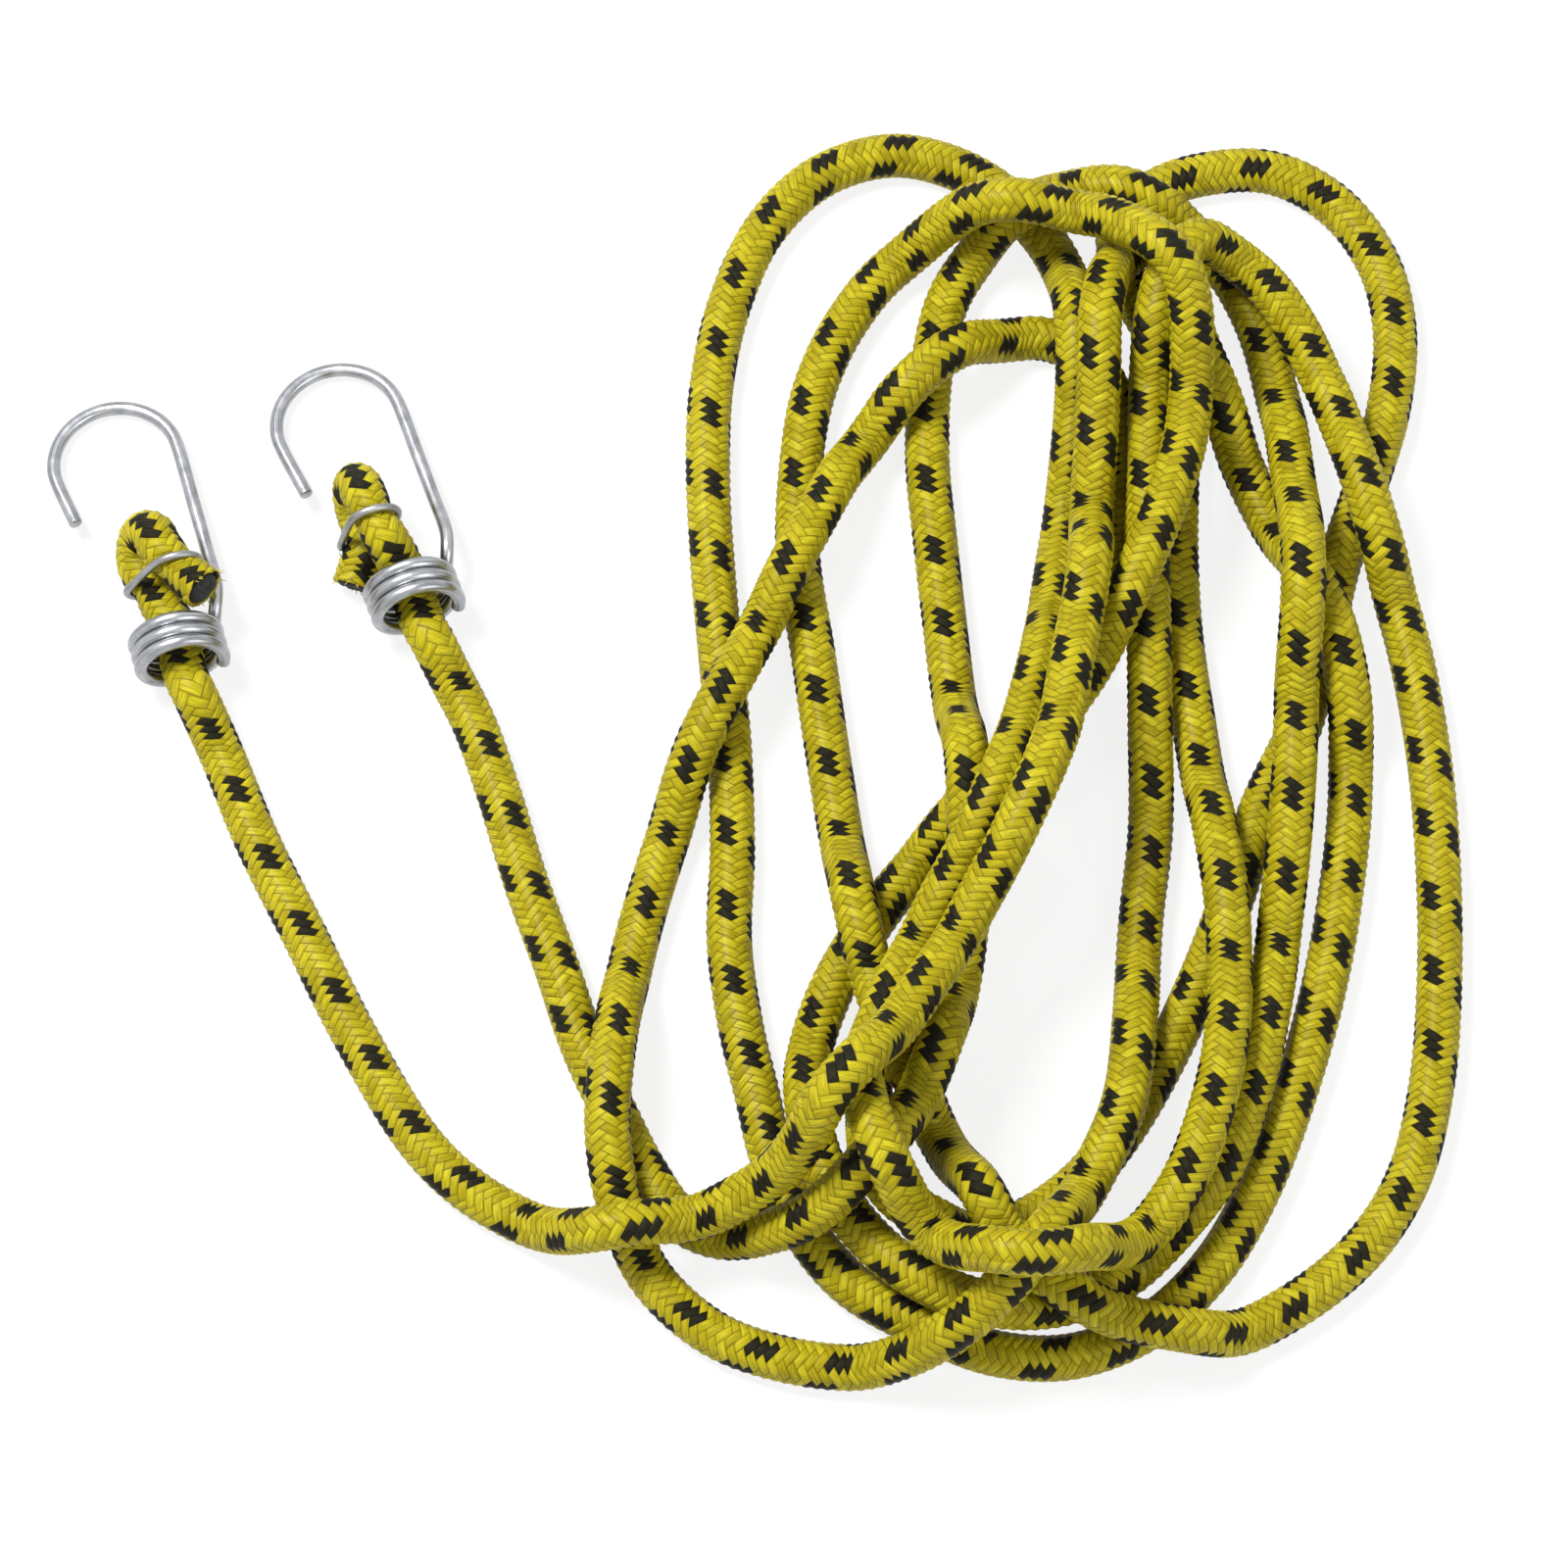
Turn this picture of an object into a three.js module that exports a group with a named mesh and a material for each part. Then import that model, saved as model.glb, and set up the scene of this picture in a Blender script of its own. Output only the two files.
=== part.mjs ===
// Bungee cord: a stretchy cord with a braided sleeve over a rubber core, thrown down in loose loops,
// with a wire hook at each end.
// Millimetres, +Z up, standing on z = 0.
import * as THREE from "three";

// Cord
const CORD_R = 4; // outside of the braided sleeve
const BORE_R = 2.9; // inside of the sleeve
const CORE_R = 2.3; // rubber core
const FLAT = 0.8; // the cord is pressed flat by this much where it lies on the floor
const REST_Z = CORD_R - FLAT; // height of the cord's middle on the floor
const APART = 9.5; // between the middles of two strands that touch
const END_GAP = 0.3; // between two stretches of the sleeve
const CORE_IN = 0.2; // the core ends this far inside the sleeve
const PLAN_STEP = 2.5; // between points of the laid cord
const END_CLEAR = 0.8; // no corner ring this close to the end of a stretch
const LONGEST = 24; // between two corner rings
const FOLD_SLACK = 0.12; // corner rings follow the folded ends this closely
const LOOP_SLACK = 0.65; // and the rest of the cord this closely
const SLEEVE_SIDES = 6;

// Wire hook: a coil round the cord, a shank and a round bend
const WIRE_R = 1.2;
const COIL_R = 7.3; // to the middle of the wire
const COIL_PITCH = 2.9;
const COIL_TURNS = 3;
const COIL_STEPS = 18; // to a turn
const COIL_END = -0.35; // angle at which the wire leaves the coil
const SHANK_OFF = 9.5; // shank from the cord's line
const SHANK_FROM = 27; // where the shank is straight, ahead of the coil
// The wire from the coil to the shank: ahead of the coil's front, to the right and up
const COIL_EXIT = [[1.2, 7.7, -0.2], [3, 8.5, 1], [5.5, 9.2, 1], [9, SHANK_OFF, 0.4], [13, SHANK_OFF, 0]];
const BEND_R = 11.2;
const BEND_STEPS = 14;
const TIP_IN = 1.4; // the tip leans in towards the shank
const COIL_Z = 8.8; // middle of the coil above the floor
const NOSE_DOWN = 0.146; // sine of the hook's slope

// Clip round both legs of a folded end
const CLIP_AT = 13.5; // ahead of the coil
const CLIP_WIRE_R = 0.7;
const CLIP_GAP = 0.9; // from the sleeve
const CLIP_STEPS = 28;

// Where the hooks lie: coil middle, way the hook points (degrees left of +Y), middle of the bend and
// tip ahead of the coil. The folded end from its cut face: ahead of the coil, to the right and height,
// for the cut leg and the leg that goes on.
const LEFT = {
  at: [-101.2, 17.7], yaw: 16.1, bend: 40.3, tip: 29.9,
  cutLeg: [
    [7.6, 6.7, 14.8], [9.8, 5.4, 14.3], [11.6, 4.4, 13.9], [CLIP_AT, 3.4, 13.65], [15.8, 2.3, 13.5],
    [18, 1.4, 13.3],
  ],
  mainLeg: [
    [18, -2.7, 5.85], [15.8, -2.3, 6.05], [CLIP_AT, -1.7, 6.35], [11, -1, 6.35], [8.5, -0.4, 6.45],
    [6, 0, 6.7], [3, 0, 6.9], [0, 0, 7.1], [-3, 0, 7.44], [-6, 0, 7.88],
  ],
};
const RIGHT = {
  at: [-60.2, 27.7], yaw: 19.4, bend: 38.3, tip: 26.2,
  cutLeg: [
    [7.2, -8.8, 4], [9.6, -7, 4.7], [11.8, -5.3, 5.95], [CLIP_AT, -4.65, 6.4], [15.8, -4.2, 6.3],
    [18, -4.1, 6],
  ],
  mainLeg: [
    [18, -2.6, 14.6], [15.8, -2.5, 14.85], [CLIP_AT, -2.4, 14.9], [11.5, -2, 14.75], [9.5, -1.5, 14],
    [6.5, -0.5, 10.7], [4, -0.3, 8.5], [2, -0.1, 7.7], [0, 0, 7.4], [-3, 0, 7.44], [-6, 0, 7.88],
  ],
};
const CENTRE = [-1.65, 2.24]; // middle of the object's outline, moved to the origin

// Route of the cord between the hooks, x, y and a rank: where two strands cross,
// the higher rank lies on top.
const LEFT_TAIL = [
  [-94.5, 2, 0], [-87, -16, 0], [-78.5, -33, 0], [-69, -52, 0], [-57.5, -71, 0], [-49, -79.5, 0],
];
const LOOPS = [
  // in from the left along the bottom, up the middle and over the top
  [-39, -85.5, 0], [-28, -90, 3], [-16, -88.5, 4], [-4, -85.5, 5], [7, -80, 6], [14, -72, 6],
  [20.5, -64, 6],
  [29, -51, 5], [37, -37, 5], [45, -23, 5], [51.5, -7, 5], [55, 10, 5], [58, 26.5, 4], [59.5, 47, 4],
  [60.5, 64, 4], [61, 77, 5], [64, 88, 5], [70, 93.5, 3], [75, 88, 1], [78, 76.5, 0],
  // down the right and along the bottom to the left
  [82.5, 65, 0], [88, 51, 0], [95, 35.5, 0], [101, 21.5, 1], [104, 6.5, 1], [104, -8, 0],
  [102, -25, 0], [98.5, -43, 0], [93, -62, 0], [86, -80, 0], [78, -93.5, 0], [67.5, -103.5, 0],
  [54, -109, 0], [41, -108.5, 0], [28.5, -103.5, 0], [16, -96, 0], [7.5, -85, 0], [3, -74, 0],
  // up the left side and round the top
  [0.5, -63, 0], [-2.5, -50, 0], [-4.5, -35, 0], [-4, -18, 0], [-4.5, 0, 0], [-6, 17, 0],
  [-7.5, 34, 0], [-8.5, 52, 0], [-8, 70, 0], [-4.5, 87, 0], [2, 101.5, 0], [12, 111.5, 0],
  [25, 115.5, 0], [38, 112, 1],
  [48, 104, 2], [55, 93, 1.5], [57, 78, 2], [57, 66, 2], [55.5, 50, 2], [53, 33, 2], [49.5, 11.5, 3],
  [44.5, -6.5, 3], [38.5, -21, 3], [30.5, -35, 3], [22.5, -52, 3],
  // along the bottom on top of the others and up the right
  [18, -65, 4], [20.5, -79.5, 5], [26.5, -89.5, 5], [36, -97.5, 5], [48, -100, 5], [61, -95, 4],
  [71.5, -84, 1.5], [78, -68, 2], [81, -52, 2], [81.5, -34, 2], [79.5, -14, 1], [77, 5, 1],
  [75, 22, 1], [74.5, 37, 1],
  [75, 53, 1], [75.5, 67, 1], [71.5, 80.5, 1], [66.5, 91, 1], [65.5, 101.5, 1], [72, 108.5, 0],
  [82, 112, 0], [93.5, 112, 0], [104.5, 105.5, 0], [112, 94, 0], [114.5, 81, 0],
  // down the right below the others and back up the middle
  [113, 66, 0], [108.5, 51, 0], [103, 35, 0], [99.5, 20, 0], [95.5, 5, 0], [88.5, -10, 0],
  [83, -26.5, 0], [77.5, -41, 0], [71, -55, 0], [64, -67.5, 0], [56, -78, 0], [45.5, -85.5, 0],
  [35, -88.5, 0.5], [26, -86, 0.7], [20.5, -79, 1], [19.5, -69, 0.5], [20.5, -58, 0.3], [26, -45.5, 0],
  [33, -32.5, 0], [40.5, -19, 0], [48.5, -4, 0], [54.5, 10, 0],
  [60, 25, 0], [64, 40, 0], [65, 54, 0], [64, 67, 0], [58.5, 76, 0], [50, 79.5, 0], [39, 76, 1],
  [28, 67.5, 1], [18, 56, 0.6], [10, 40, 1],
  // down the far left and along the bottom
  [3.5, 27, 1], [-3.5, 12, 1], [-10.5, -2, 0], [-16.5, -19.5, 0], [-21.5, -38.5, 0], [-24.5, -59, 1],
  [-25, -73, 0], [-22.5, -85.5, 0], [-17, -96, 0], [-7, -105, 0], [5, -109.5, 0], [18, -111, 1],
  [31, -109, 2],
  [41, -103, 2], [49, -94, 3], [57, -80.5, 2], [63, -67, 1], [65.5, -49.5, 0], [67, -31, 0],
  [69, -13.5, 0], [69, 3, 0], [69, 19.5, 1], [69, 34.5, 2], [69.5, 49.5, 2], [70, 64.5, 2],
  // round the outside of the right
  [71, 78, 2.2], [74, 86.5, 2.5], [79.5, 91.5, 2], [87.5, 89, 2], [96, 78.5, 1], [102.5, 63.5, 1],
  [108.5, 43, 2], [114.5, 23, 1], [118, 0, 0], [119, -22, 0], [118.5, -42, 0], [116.5, -61, 0],
  [112, -77.5, 0], [104, -90, 0], [92, -100, 0], [79, -106, 2],
  [65, -105.5, 2], [53, -101.5, 2], [43.5, -92, 2], [36.5, -80, 1], [29, -64.5, 1], [22.5, -51, 1],
  [18, -35, 1],
  // up the inside of the left and over the top of the pile
  [15, -16, 1], [12.5, 1, 0], [10, 19.5, 0], [7.5, 37, 0], [8, 54.5, 0], [10.5, 69.5, 0],
  [16.5, 83, 0], [25.5, 94, 1], [37, 98.5, 3], [49, 98, 6], [60.5, 95.5, 6], [69.5, 88, 6],
  [75.5, 80, 5], [77, 68, 4], [75.5, 53, 4], [71, 38.5, 4],
  [65.5, 25.5, 3], [59.5, 14.5, 2], [50.5, 1.5, 1], [40, -8.5, 0.5], [30, -18.5, 0], [21, -30, 0],
  [13, -44, 0], [9, -58, 0], [9.5, -70, 0],
  // along the bottom once more, up the right and down the last short arc
  [13, -80.5, 0], [19, -89.5, 0], [27.5, -97, 0], [38, -101.5, 0.2], [50, -101.5, 0.2],
  [60.5, -97, 0.2], [70, -89, 0.2], [78.5, -79, 0], [84.5, -64.5, 0], [88.5, -48, 0], [91.5, -28, 1],
  [93.5, -8, 2], [94.5, 10.5, 2], [95.5, 28, 2], [95, 48, 2], [93, 68.5, 1], [89, 84, 1], [82, 96, 1],
  [72.5, 102, 2], [61, 105.5, 3], [50, 102, 3], [41.5, 97, 1],
  [35, 88, 0], [31.5, 74, 0], [30.5, 57, 0], [32, 38, 0], [34, 18, 0], [36.5, -6, 1.5], [37, -23, 1.5],
  [36, -38, 1.5], [32.5, -55, 2], [27.5, -68, 2.5], [19.5, -80.5, 3],
  [9, -88, 3], [-3, -88.5, 2], [-12.5, -85, 2], [-19, -76, 0], [-24, -66, -1],
];
const RIGHT_TAIL = [[-29.5, -54, 0], [-34.5, -39, 0], [-40, -23.5, 0], [-45, -7, 0], [-50, 7, 0]];

const v3 = (x, y, z) => new THREE.Vector3(x, y, z);

// Frame of a hook: a runs along the cord to the bend, b to the right, u up
function hookFrame(h) {
  const yaw = THREE.MathUtils.degToRad(h.yaw), flat = Math.sqrt(1 - NOSE_DOWN ** 2);
  const ahead = v3(-Math.sin(yaw), Math.cos(yaw), 0);
  const a = v3(ahead.x * flat, ahead.y * flat, -NOSE_DOWN);
  const b = v3(Math.cos(yaw), Math.sin(yaw), 0);
  const u = v3().crossVectors(b, a);
  const o = v3(h.at[0], h.at[1], COIL_Z);
  const place = (s, r, t) => o.clone().addScaledVector(a, s).addScaledVector(b, r).addScaledVector(u, t);
  return { a, o, place };
}

// Centripetal Catmull-Rom curve through points of any number of values
function curve(points, per) {
  const mix = (p, f, q, g) => p.map((x, i) => x * f + q[i] * g);
  const p = [mix(points[0], 2, points[1], -1), ...points, mix(points.at(-1), 2, points.at(-2), -1)];
  const out = [];
  for (let k = 1; k < p.length - 2; k++) {
    const [p0, p1, p2, p3] = p.slice(k - 1, k + 3);
    const knot = (q, r) => Math.max(Math.sqrt(Math.hypot(...r.map((x, i) => x - q[i]))), 1e-4);
    const d0 = knot(p0, p1), d1 = knot(p1, p2), d2 = knot(p2, p3);
    for (let j = 0; j < per; j++) {
      const t = j / per;
      out.push(p1.map((x, i) => {
        const m1 = ((x - p0[i]) / d0 - (p2[i] - p0[i]) / (d0 + d1) + (p2[i] - x) / d1) * d1;
        const m2 = ((p2[i] - x) / d1 - (p3[i] - x) / (d1 + d2) + (p3[i] - p2[i]) / d2) * d1;
        const square = -3 * x + 3 * p2[i] - 2 * m1 - m2;
        const cube = 2 * x - 2 * p2[i] + m1 + m2;
        return x + m1 * t + square * t * t + cube * t ** 3;
      }));
    }
  }
  out.push(points.at(-1).slice());
  return out;
}

// The line cut into even steps in plan
function evenSteps(line, step) {
  const s = [0];
  for (let i = 1; i < line.length; i++) {
    const [p, q] = [line[i - 1], line[i]];
    s.push(s[i - 1] + Math.hypot(q[0] - p[0], q[1] - p[1]));
  }
  const n = Math.floor(s.at(-1) / step), out = [];
  for (let k = 0, i = 0; k <= n; k++) {
    const want = (s.at(-1) * k) / n;
    while (i < s.length - 2 && s[i + 1] < want) i++;
    const f = (want - s[i]) / (s[i + 1] - s[i]);
    out.push(line[i].map((x, j) => x + f * (line[i + 1][j] - x)));
  }
  return { line: out, step: s.at(-1) / n };
}

// Heights of the cord: each strand sinks to the floor or onto the strands below it,
// and bends smoothly between.
function settle(line, step, ends) {
  const n = line.length, rank = line.map((p) => p[2]), meet = [];
  // places closer along the cord than three strands side by side belong to one strand
  const far = Math.ceil((3 * APART) / step), cells = new Map();
  const cell = (p) => [Math.floor(p[0] / APART), Math.floor(p[1] / APART)];
  line.forEach((p, i) => {
    const key = cell(p).join();
    cells.set(key, [...(cells.get(key) || []), i]);
  });
  line.forEach((p, i) => {
    const [cx, cy] = cell(p);
    for (let x = cx - 1; x <= cx + 1; x++) for (let y = cy - 1; y <= cy + 1; y++)
      for (const j of cells.get([x, y].join()) || []) {
        const d = Math.hypot(p[0] - line[j][0], p[1] - line[j][1]);
        if (j - i <= far || d >= APART) continue;
        meet.push({ i, j, d, need: Math.sqrt(APART ** 2 - d ** 2), group: -1 });
      }
  });
  // two strands that meet keep one order along the whole meeting
  const at = new Map(meet.map((m) => [m.i + "," + m.j, m]));
  let groups = 0;
  for (const seed of meet) {
    if (seed.group >= 0) continue;
    const queue = [seed], members = [];
    seed.group = groups;
    while (queue.length) {
      const m = queue.pop();
      members.push(m);
      for (let di = -2; di <= 2; di++) for (let dj = -2; dj <= 2; dj++) {
        const o = at.get(m.i + di + "," + (m.j + dj));
        if (!o || o.group >= 0) continue;
        o.group = groups;
        queue.push(o);
      }
    }
    const lead = members.reduce((sum, m) => sum + (rank[m.i] - rank[m.j]) * (APART - m.d) ** 2, 0);
    for (const m of members) [m.hi, m.lo] = lead >= 0 ? [m.i, m.j] : [m.j, m.i];
    groups++;
  }
  const z = new Float64Array(n).fill(REST_Z), bend = new Float64Array(n), lift = new Float64Array(n);
  for (let round = 0; round < 5000; round++) {
    for (let i = 2; i < n - 2; i++) {
      bend[i] = (-z[i - 2] + 4 * z[i - 1] - 6 * z[i] + 4 * z[i + 1] - z[i + 2]) / 16;
    }
    for (let i = 0; i < n; i++) z[i] = Math.max(z[i] + 0.8 * bend[i] - 0.02, REST_Z);
    lift.fill(0);
    for (const m of meet) lift[m.hi] = Math.max(lift[m.hi], m.need - (z[m.hi] - z[m.lo]));
    for (let i = 0; i < n; i++) z[i] += 0.7 * lift[i];
    ends.forEach((h, i) => {
      z[i] = h[0];
      z[n - 1 - i] = h[1];
    });
  }
  return line.map((p, i) => v3(p[0], p[1], z[i]));
}

// A point by the hook's level directions: ahead of the coil, to its right, and height above the floor
function levelPoint(h, [s, r, z]) {
  const yaw = THREE.MathUtils.degToRad(h.yaw);
  const x = h.at[0] - Math.sin(yaw) * s + Math.cos(yaw) * r;
  const y = h.at[1] + Math.cos(yaw) * s + Math.sin(yaw) * r;
  return v3(x, y, z);
}

// One folded end, from the cut face over the half-round fold to just behind the coil
function foldPath(h) {
  const from = h.cutLeg.at(-1), to = h.mainLeg[0], fold = [];
  const half = Math.hypot(from[1] - to[1], from[2] - to[2]) / 2;
  for (let k = 1; k < 8; k++) {
    const w = (Math.PI * k) / 8, f = (1 + Math.cos(w)) / 2;
    fold.push([from[0] + half * Math.sin(w), to[1] + (from[1] - to[1]) * f, to[2] + (from[2] - to[2]) * f]);
  }
  return [...h.cutLeg, ...fold, ...h.mainLeg].map((p) => levelPoint(h, p));
}

const leftFold = foldPath(LEFT), rightFold = foldPath(RIGHT);
const fromEnd = (path, k) => path[path.length - 1 - k];
const startPoint = fromEnd(leftFold, 0), endPoint = fromEnd(rightFold, 0);
const between = [...LEFT_TAIL, ...LOOPS, ...RIGHT_TAIL];
const plan = [[startPoint.x, startPoint.y, 0], ...between, [endPoint.x, endPoint.y, 0]];
const laid = evenSteps(curve(plan, 24), PLAN_STEP);
const slope = NOSE_DOWN * laid.step;
const held = [0, 1].map((i) => [startPoint.z + slope * i, endPoint.z + slope * i]);
const settled = settle(laid.line, laid.step, held);
const cord = [...leftFold.slice(0, -1), ...settled, ...rightFold.slice(0, -1).reverse()];

// Lengths along the cord, and the places where the sleeve's stretches meet
const along = [0];
for (let i = 1; i < cord.length; i++) along.push(along[i - 1] + cord[i].distanceTo(cord[i - 1]));
function nearest(x, y) {
  const off = cord.map((p) => Math.hypot(p.x - x, p.y - y));
  return along[off.indexOf(Math.min(...off))];
}
const foldEnds = [along[leftFold.length - 1], along[cord.length - rightFold.length]];
const tailEnds = [nearest(...LEFT_TAIL.at(-1)), nearest(...RIGHT_TAIL[0])];
const cuts = [0, foldEnds[0], ...tailEnds, foldEnds[1], along.at(-1)];
function spotAt(s) {
  let i = 0;
  while (i < along.length - 2 && along[i + 1] < s) i++;
  return [i, (s - along[i]) / (along[i + 1] - along[i])];
}
function pointAt(s) {
  const [i, f] = spotAt(s);
  return cord[i].clone().lerp(cord[i + 1], f);
}

// Side directions of the cord: level between the hooks, carried on without twist through the folds
const ways = cord.map((_, i) => {
  const before = cord[Math.max(i - 1, 0)], after = cord[Math.min(i + 1, cord.length - 1)];
  return after.clone().sub(before).normalize();
});
const sideways = ways.map((t) => v3().crossVectors(t, v3(0, 0, 1)).normalize());
const square = (side, t) => side.clone().addScaledVector(t, -side.dot(t)).normalize();
for (let i = leftFold.length - 2; i >= 0; i--) sideways[i] = square(sideways[i + 1], ways[i]);
for (let i = cord.length - rightFold.length + 1; i < cord.length; i++) {
  sideways[i] = square(sideways[i - 1], ways[i]);
}

// Stations between two lengths, closer where the cord bends
function stations(from, to, slack) {
  const out = [from];
  let last = from;
  const inside = along.filter((s) => s > from + END_CLEAR && s < to - END_CLEAR);
  inside.push(to);
  for (let k = 0; k < inside.length; k++) {
    const next = inside[k + 1];
    if (next === undefined) break;
    const a = pointAt(last), b = pointAt(next), run = b.clone().sub(a);
    let off = 0;
    for (let j = k; j >= 0 && inside[j] > last; j--) {
      const p = pointAt(inside[j]);
      const t = THREE.MathUtils.clamp(p.clone().sub(a).dot(run) / run.lengthSq(), 0, 1);
      off = Math.max(off, p.distanceTo(a.clone().lerp(b, t)));
    }
    if (off > slack || next - last > LONGEST) {
      last = inside[k];
      out.push(last);
    }
  }
  out.push(to);
  return out;
}

// Corners round a middle
function ring(middle, side, up, radius, sides) {
  return Array.from({ length: sides }, (_, k) => {
    const w = (2 * Math.PI * k) / sides, across = radius * Math.cos(w), high = radius * Math.sin(w);
    return middle.clone().addScaledVector(side, across).addScaledVector(up, high);
  });
}

// The cord as rings of corners: sides are level between the hooks, so the flat below is one plane
function ringsOf(spots, radius) {
  return spots.map((s) => {
    const t = pointAt(Math.min(s + 0.6, along.at(-1))).sub(pointAt(Math.max(s - 0.6, 0))).normalize();
    const [i, f] = spotAt(s), side = square(sideways[i].clone().lerp(sideways[i + 1], f), t);
    return ring(pointAt(s), side, v3().crossVectors(side, t), radius, SLEEVE_SIDES);
  });
}

// Closed mesh from corner rings; with a bore it is a pipe, else both ends are capped
function tube(rings, bore, closed = false) {
  const position = [], index = [], sides = rings[0].length;
  const put = (set) => {
    const first = position.length / 3;
    set.forEach((r) => r.forEach((p) => position.push(p.x, p.y, p.z)));
    return first;
  };
  const wall = (first, count, m, flip, round) => {
    for (let i = 0; i < (round ? count : count - 1); i++) for (let k = 0; k < m; k++) {
      const j = (i + 1) % count, q = (k + 1) % m;
      const [a, b, c, d] = [first + i * m + k, first + j * m + k, first + j * m + q, first + i * m + q];
      index.push(...(flip ? [a, c, b, a, d, c] : [a, b, c, a, c, d]));
    }
  };
  const outer = put(rings);
  wall(outer, rings.length, sides, false, closed);
  if (bore) {
    const inner = put(bore);
    wall(inner, bore.length, sides, true, false);
    const lastOut = outer + (rings.length - 1) * sides, lastIn = inner + (bore.length - 1) * sides;
    for (let k = 0; k < sides; k++) {
      const q = (k + 1) % sides;
      index.push(outer + k, inner + q, inner + k, outer + k, outer + q, inner + q);
      index.push(lastOut + k, lastIn + k, lastIn + q, lastOut + k, lastIn + q, lastOut + q);
    }
  } else if (!closed) {
    const lastOut = outer + (rings.length - 1) * sides;
    for (let k = 1; k < sides - 1; k++) {
      index.push(outer, outer + k, outer + k + 1);
      index.push(lastOut, lastOut + k + 1, lastOut + k);
    }
  }
  const g = new THREE.BufferGeometry();
  g.setAttribute("position", new THREE.Float32BufferAttribute(position, 3));
  g.setIndex(index);
  return g;
}

const onFloor = (rings) => rings.map((r) => r.map((p) => v3(p.x, p.y, Math.max(p.z, 0))));

// Rings round a wire, carried along without twist
function wireRings(path, radius, sides, closed = false) {
  const n = path.length, rings = [];
  let side = null;
  for (let i = 0; i < n; i++) {
    const before = closed ? path[(i + n - 1) % n] : path[Math.max(i - 1, 0)];
    const after = closed ? path[(i + 1) % n] : path[Math.min(i + 1, n - 1)];
    const t = after.clone().sub(before).normalize();
    const start = Math.abs(t.z) < 0.9 ? v3(0, 0, 1) : v3(1, 0, 0);
    side = side ? square(side, t) : v3().crossVectors(t, start).normalize();
    rings.push(ring(path[i], side, v3().crossVectors(side, t), radius, sides));
  }
  return rings;
}

function hookPath(h) {
  const f = hookFrame(h), path = [];
  const half = (COIL_PITCH * COIL_TURNS) / 2, steps = COIL_STEPS * COIL_TURNS;
  for (let k = 0; k <= steps; k++) {
    const w = COIL_END - (2 * Math.PI * (steps - k)) / COIL_STEPS;
    path.push(f.place(-half + (2 * half * k) / steps, COIL_R * Math.cos(w), COIL_R * Math.sin(w)));
  }
  COIL_EXIT.forEach(([s, r, t]) => path.push(f.place(half + s, r, t)));
  path.push(f.place(SHANK_FROM, SHANK_OFF, 0));
  for (let k = 0; k <= BEND_STEPS; k++) {
    const w = (Math.PI * k) / BEND_STEPS;
    path.push(f.place(h.bend + BEND_R * Math.sin(w), SHANK_OFF - BEND_R + BEND_R * Math.cos(w), 0));
  }
  path.push(f.place(h.tip, SHANK_OFF - 2 * BEND_R + TIP_IN, 0));
  return path;
}

function clipPath(h) {
  const at = (leg) => leg.find((p) => p[0] === CLIP_AT), main = at(h.mainLeg), cut = at(h.cutLeg);
  const step = Math.hypot(cut[1] - main[1], cut[2] - main[2]);
  const c = [(cut[1] - main[1]) / step, (cut[2] - main[2]) / step];
  const r = CORD_R + CLIP_GAP + CLIP_WIRE_R, path = [];
  for (let k = 0; k < CLIP_STEPS; k++) {
    const w = (2 * Math.PI * (k + 0.5)) / CLIP_STEPS;
    const p = r * Math.cos(w) + (Math.cos(w) > 0 ? step : 0), q = r * Math.sin(w);
    path.push(levelPoint(h, [CLIP_AT, main[1] + c[0] * p - c[1] * q, main[2] + c[1] * p + c[0] * q]));
  }
  return path;
}

const group = new THREE.Group();
const YELLOW = { color: 0xf2c200, roughness: 0.75 };
const RUBBER = { color: 0x1c1c1c, roughness: 0.9 };
const ZINC = { color: 0xc9ccd0, roughness: 0.28, metalness: 1 };
function add(name, geometry, look) {
  geometry.translate(-CENTRE[0], -CENTRE[1], 0);
  geometry.computeVertexNormals();
  const mesh = new THREE.Mesh(geometry, new THREE.MeshStandardMaterial(look));
  mesh.name = name;
  group.add(mesh);
}

const names = ["left_folded_end", "left_tail", "cord_loops", "right_tail", "right_folded_end"];
const allSpots = [];
names.forEach((name, k) => {
  const from = cuts[k] + (k > 0 ? END_GAP / 2 : 0), to = cuts[k + 1] - (k < 4 ? END_GAP / 2 : 0);
  const spots = stations(from, to, k === 0 || k === 4 ? FOLD_SLACK : LOOP_SLACK);
  allSpots.push(...spots);
  add(name, tube(onFloor(ringsOf(spots, CORD_R)), ringsOf(spots, BORE_R)), YELLOW);
});
allSpots[0] += CORE_IN;
allSpots[allSpots.length - 1] -= CORE_IN;
add("rubber_core", tube(ringsOf(allSpots, CORE_R)), RUBBER);
[["left", LEFT], ["right", RIGHT]].forEach(([side, h]) => {
  add(side + "_hook", tube(onFloor(wireRings(hookPath(h), WIRE_R, 8))), ZINC);
  add(side + "_clip", tube(wireRings(clipPath(h), CLIP_WIRE_R, 6, true), null, true), ZINC);
});

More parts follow.
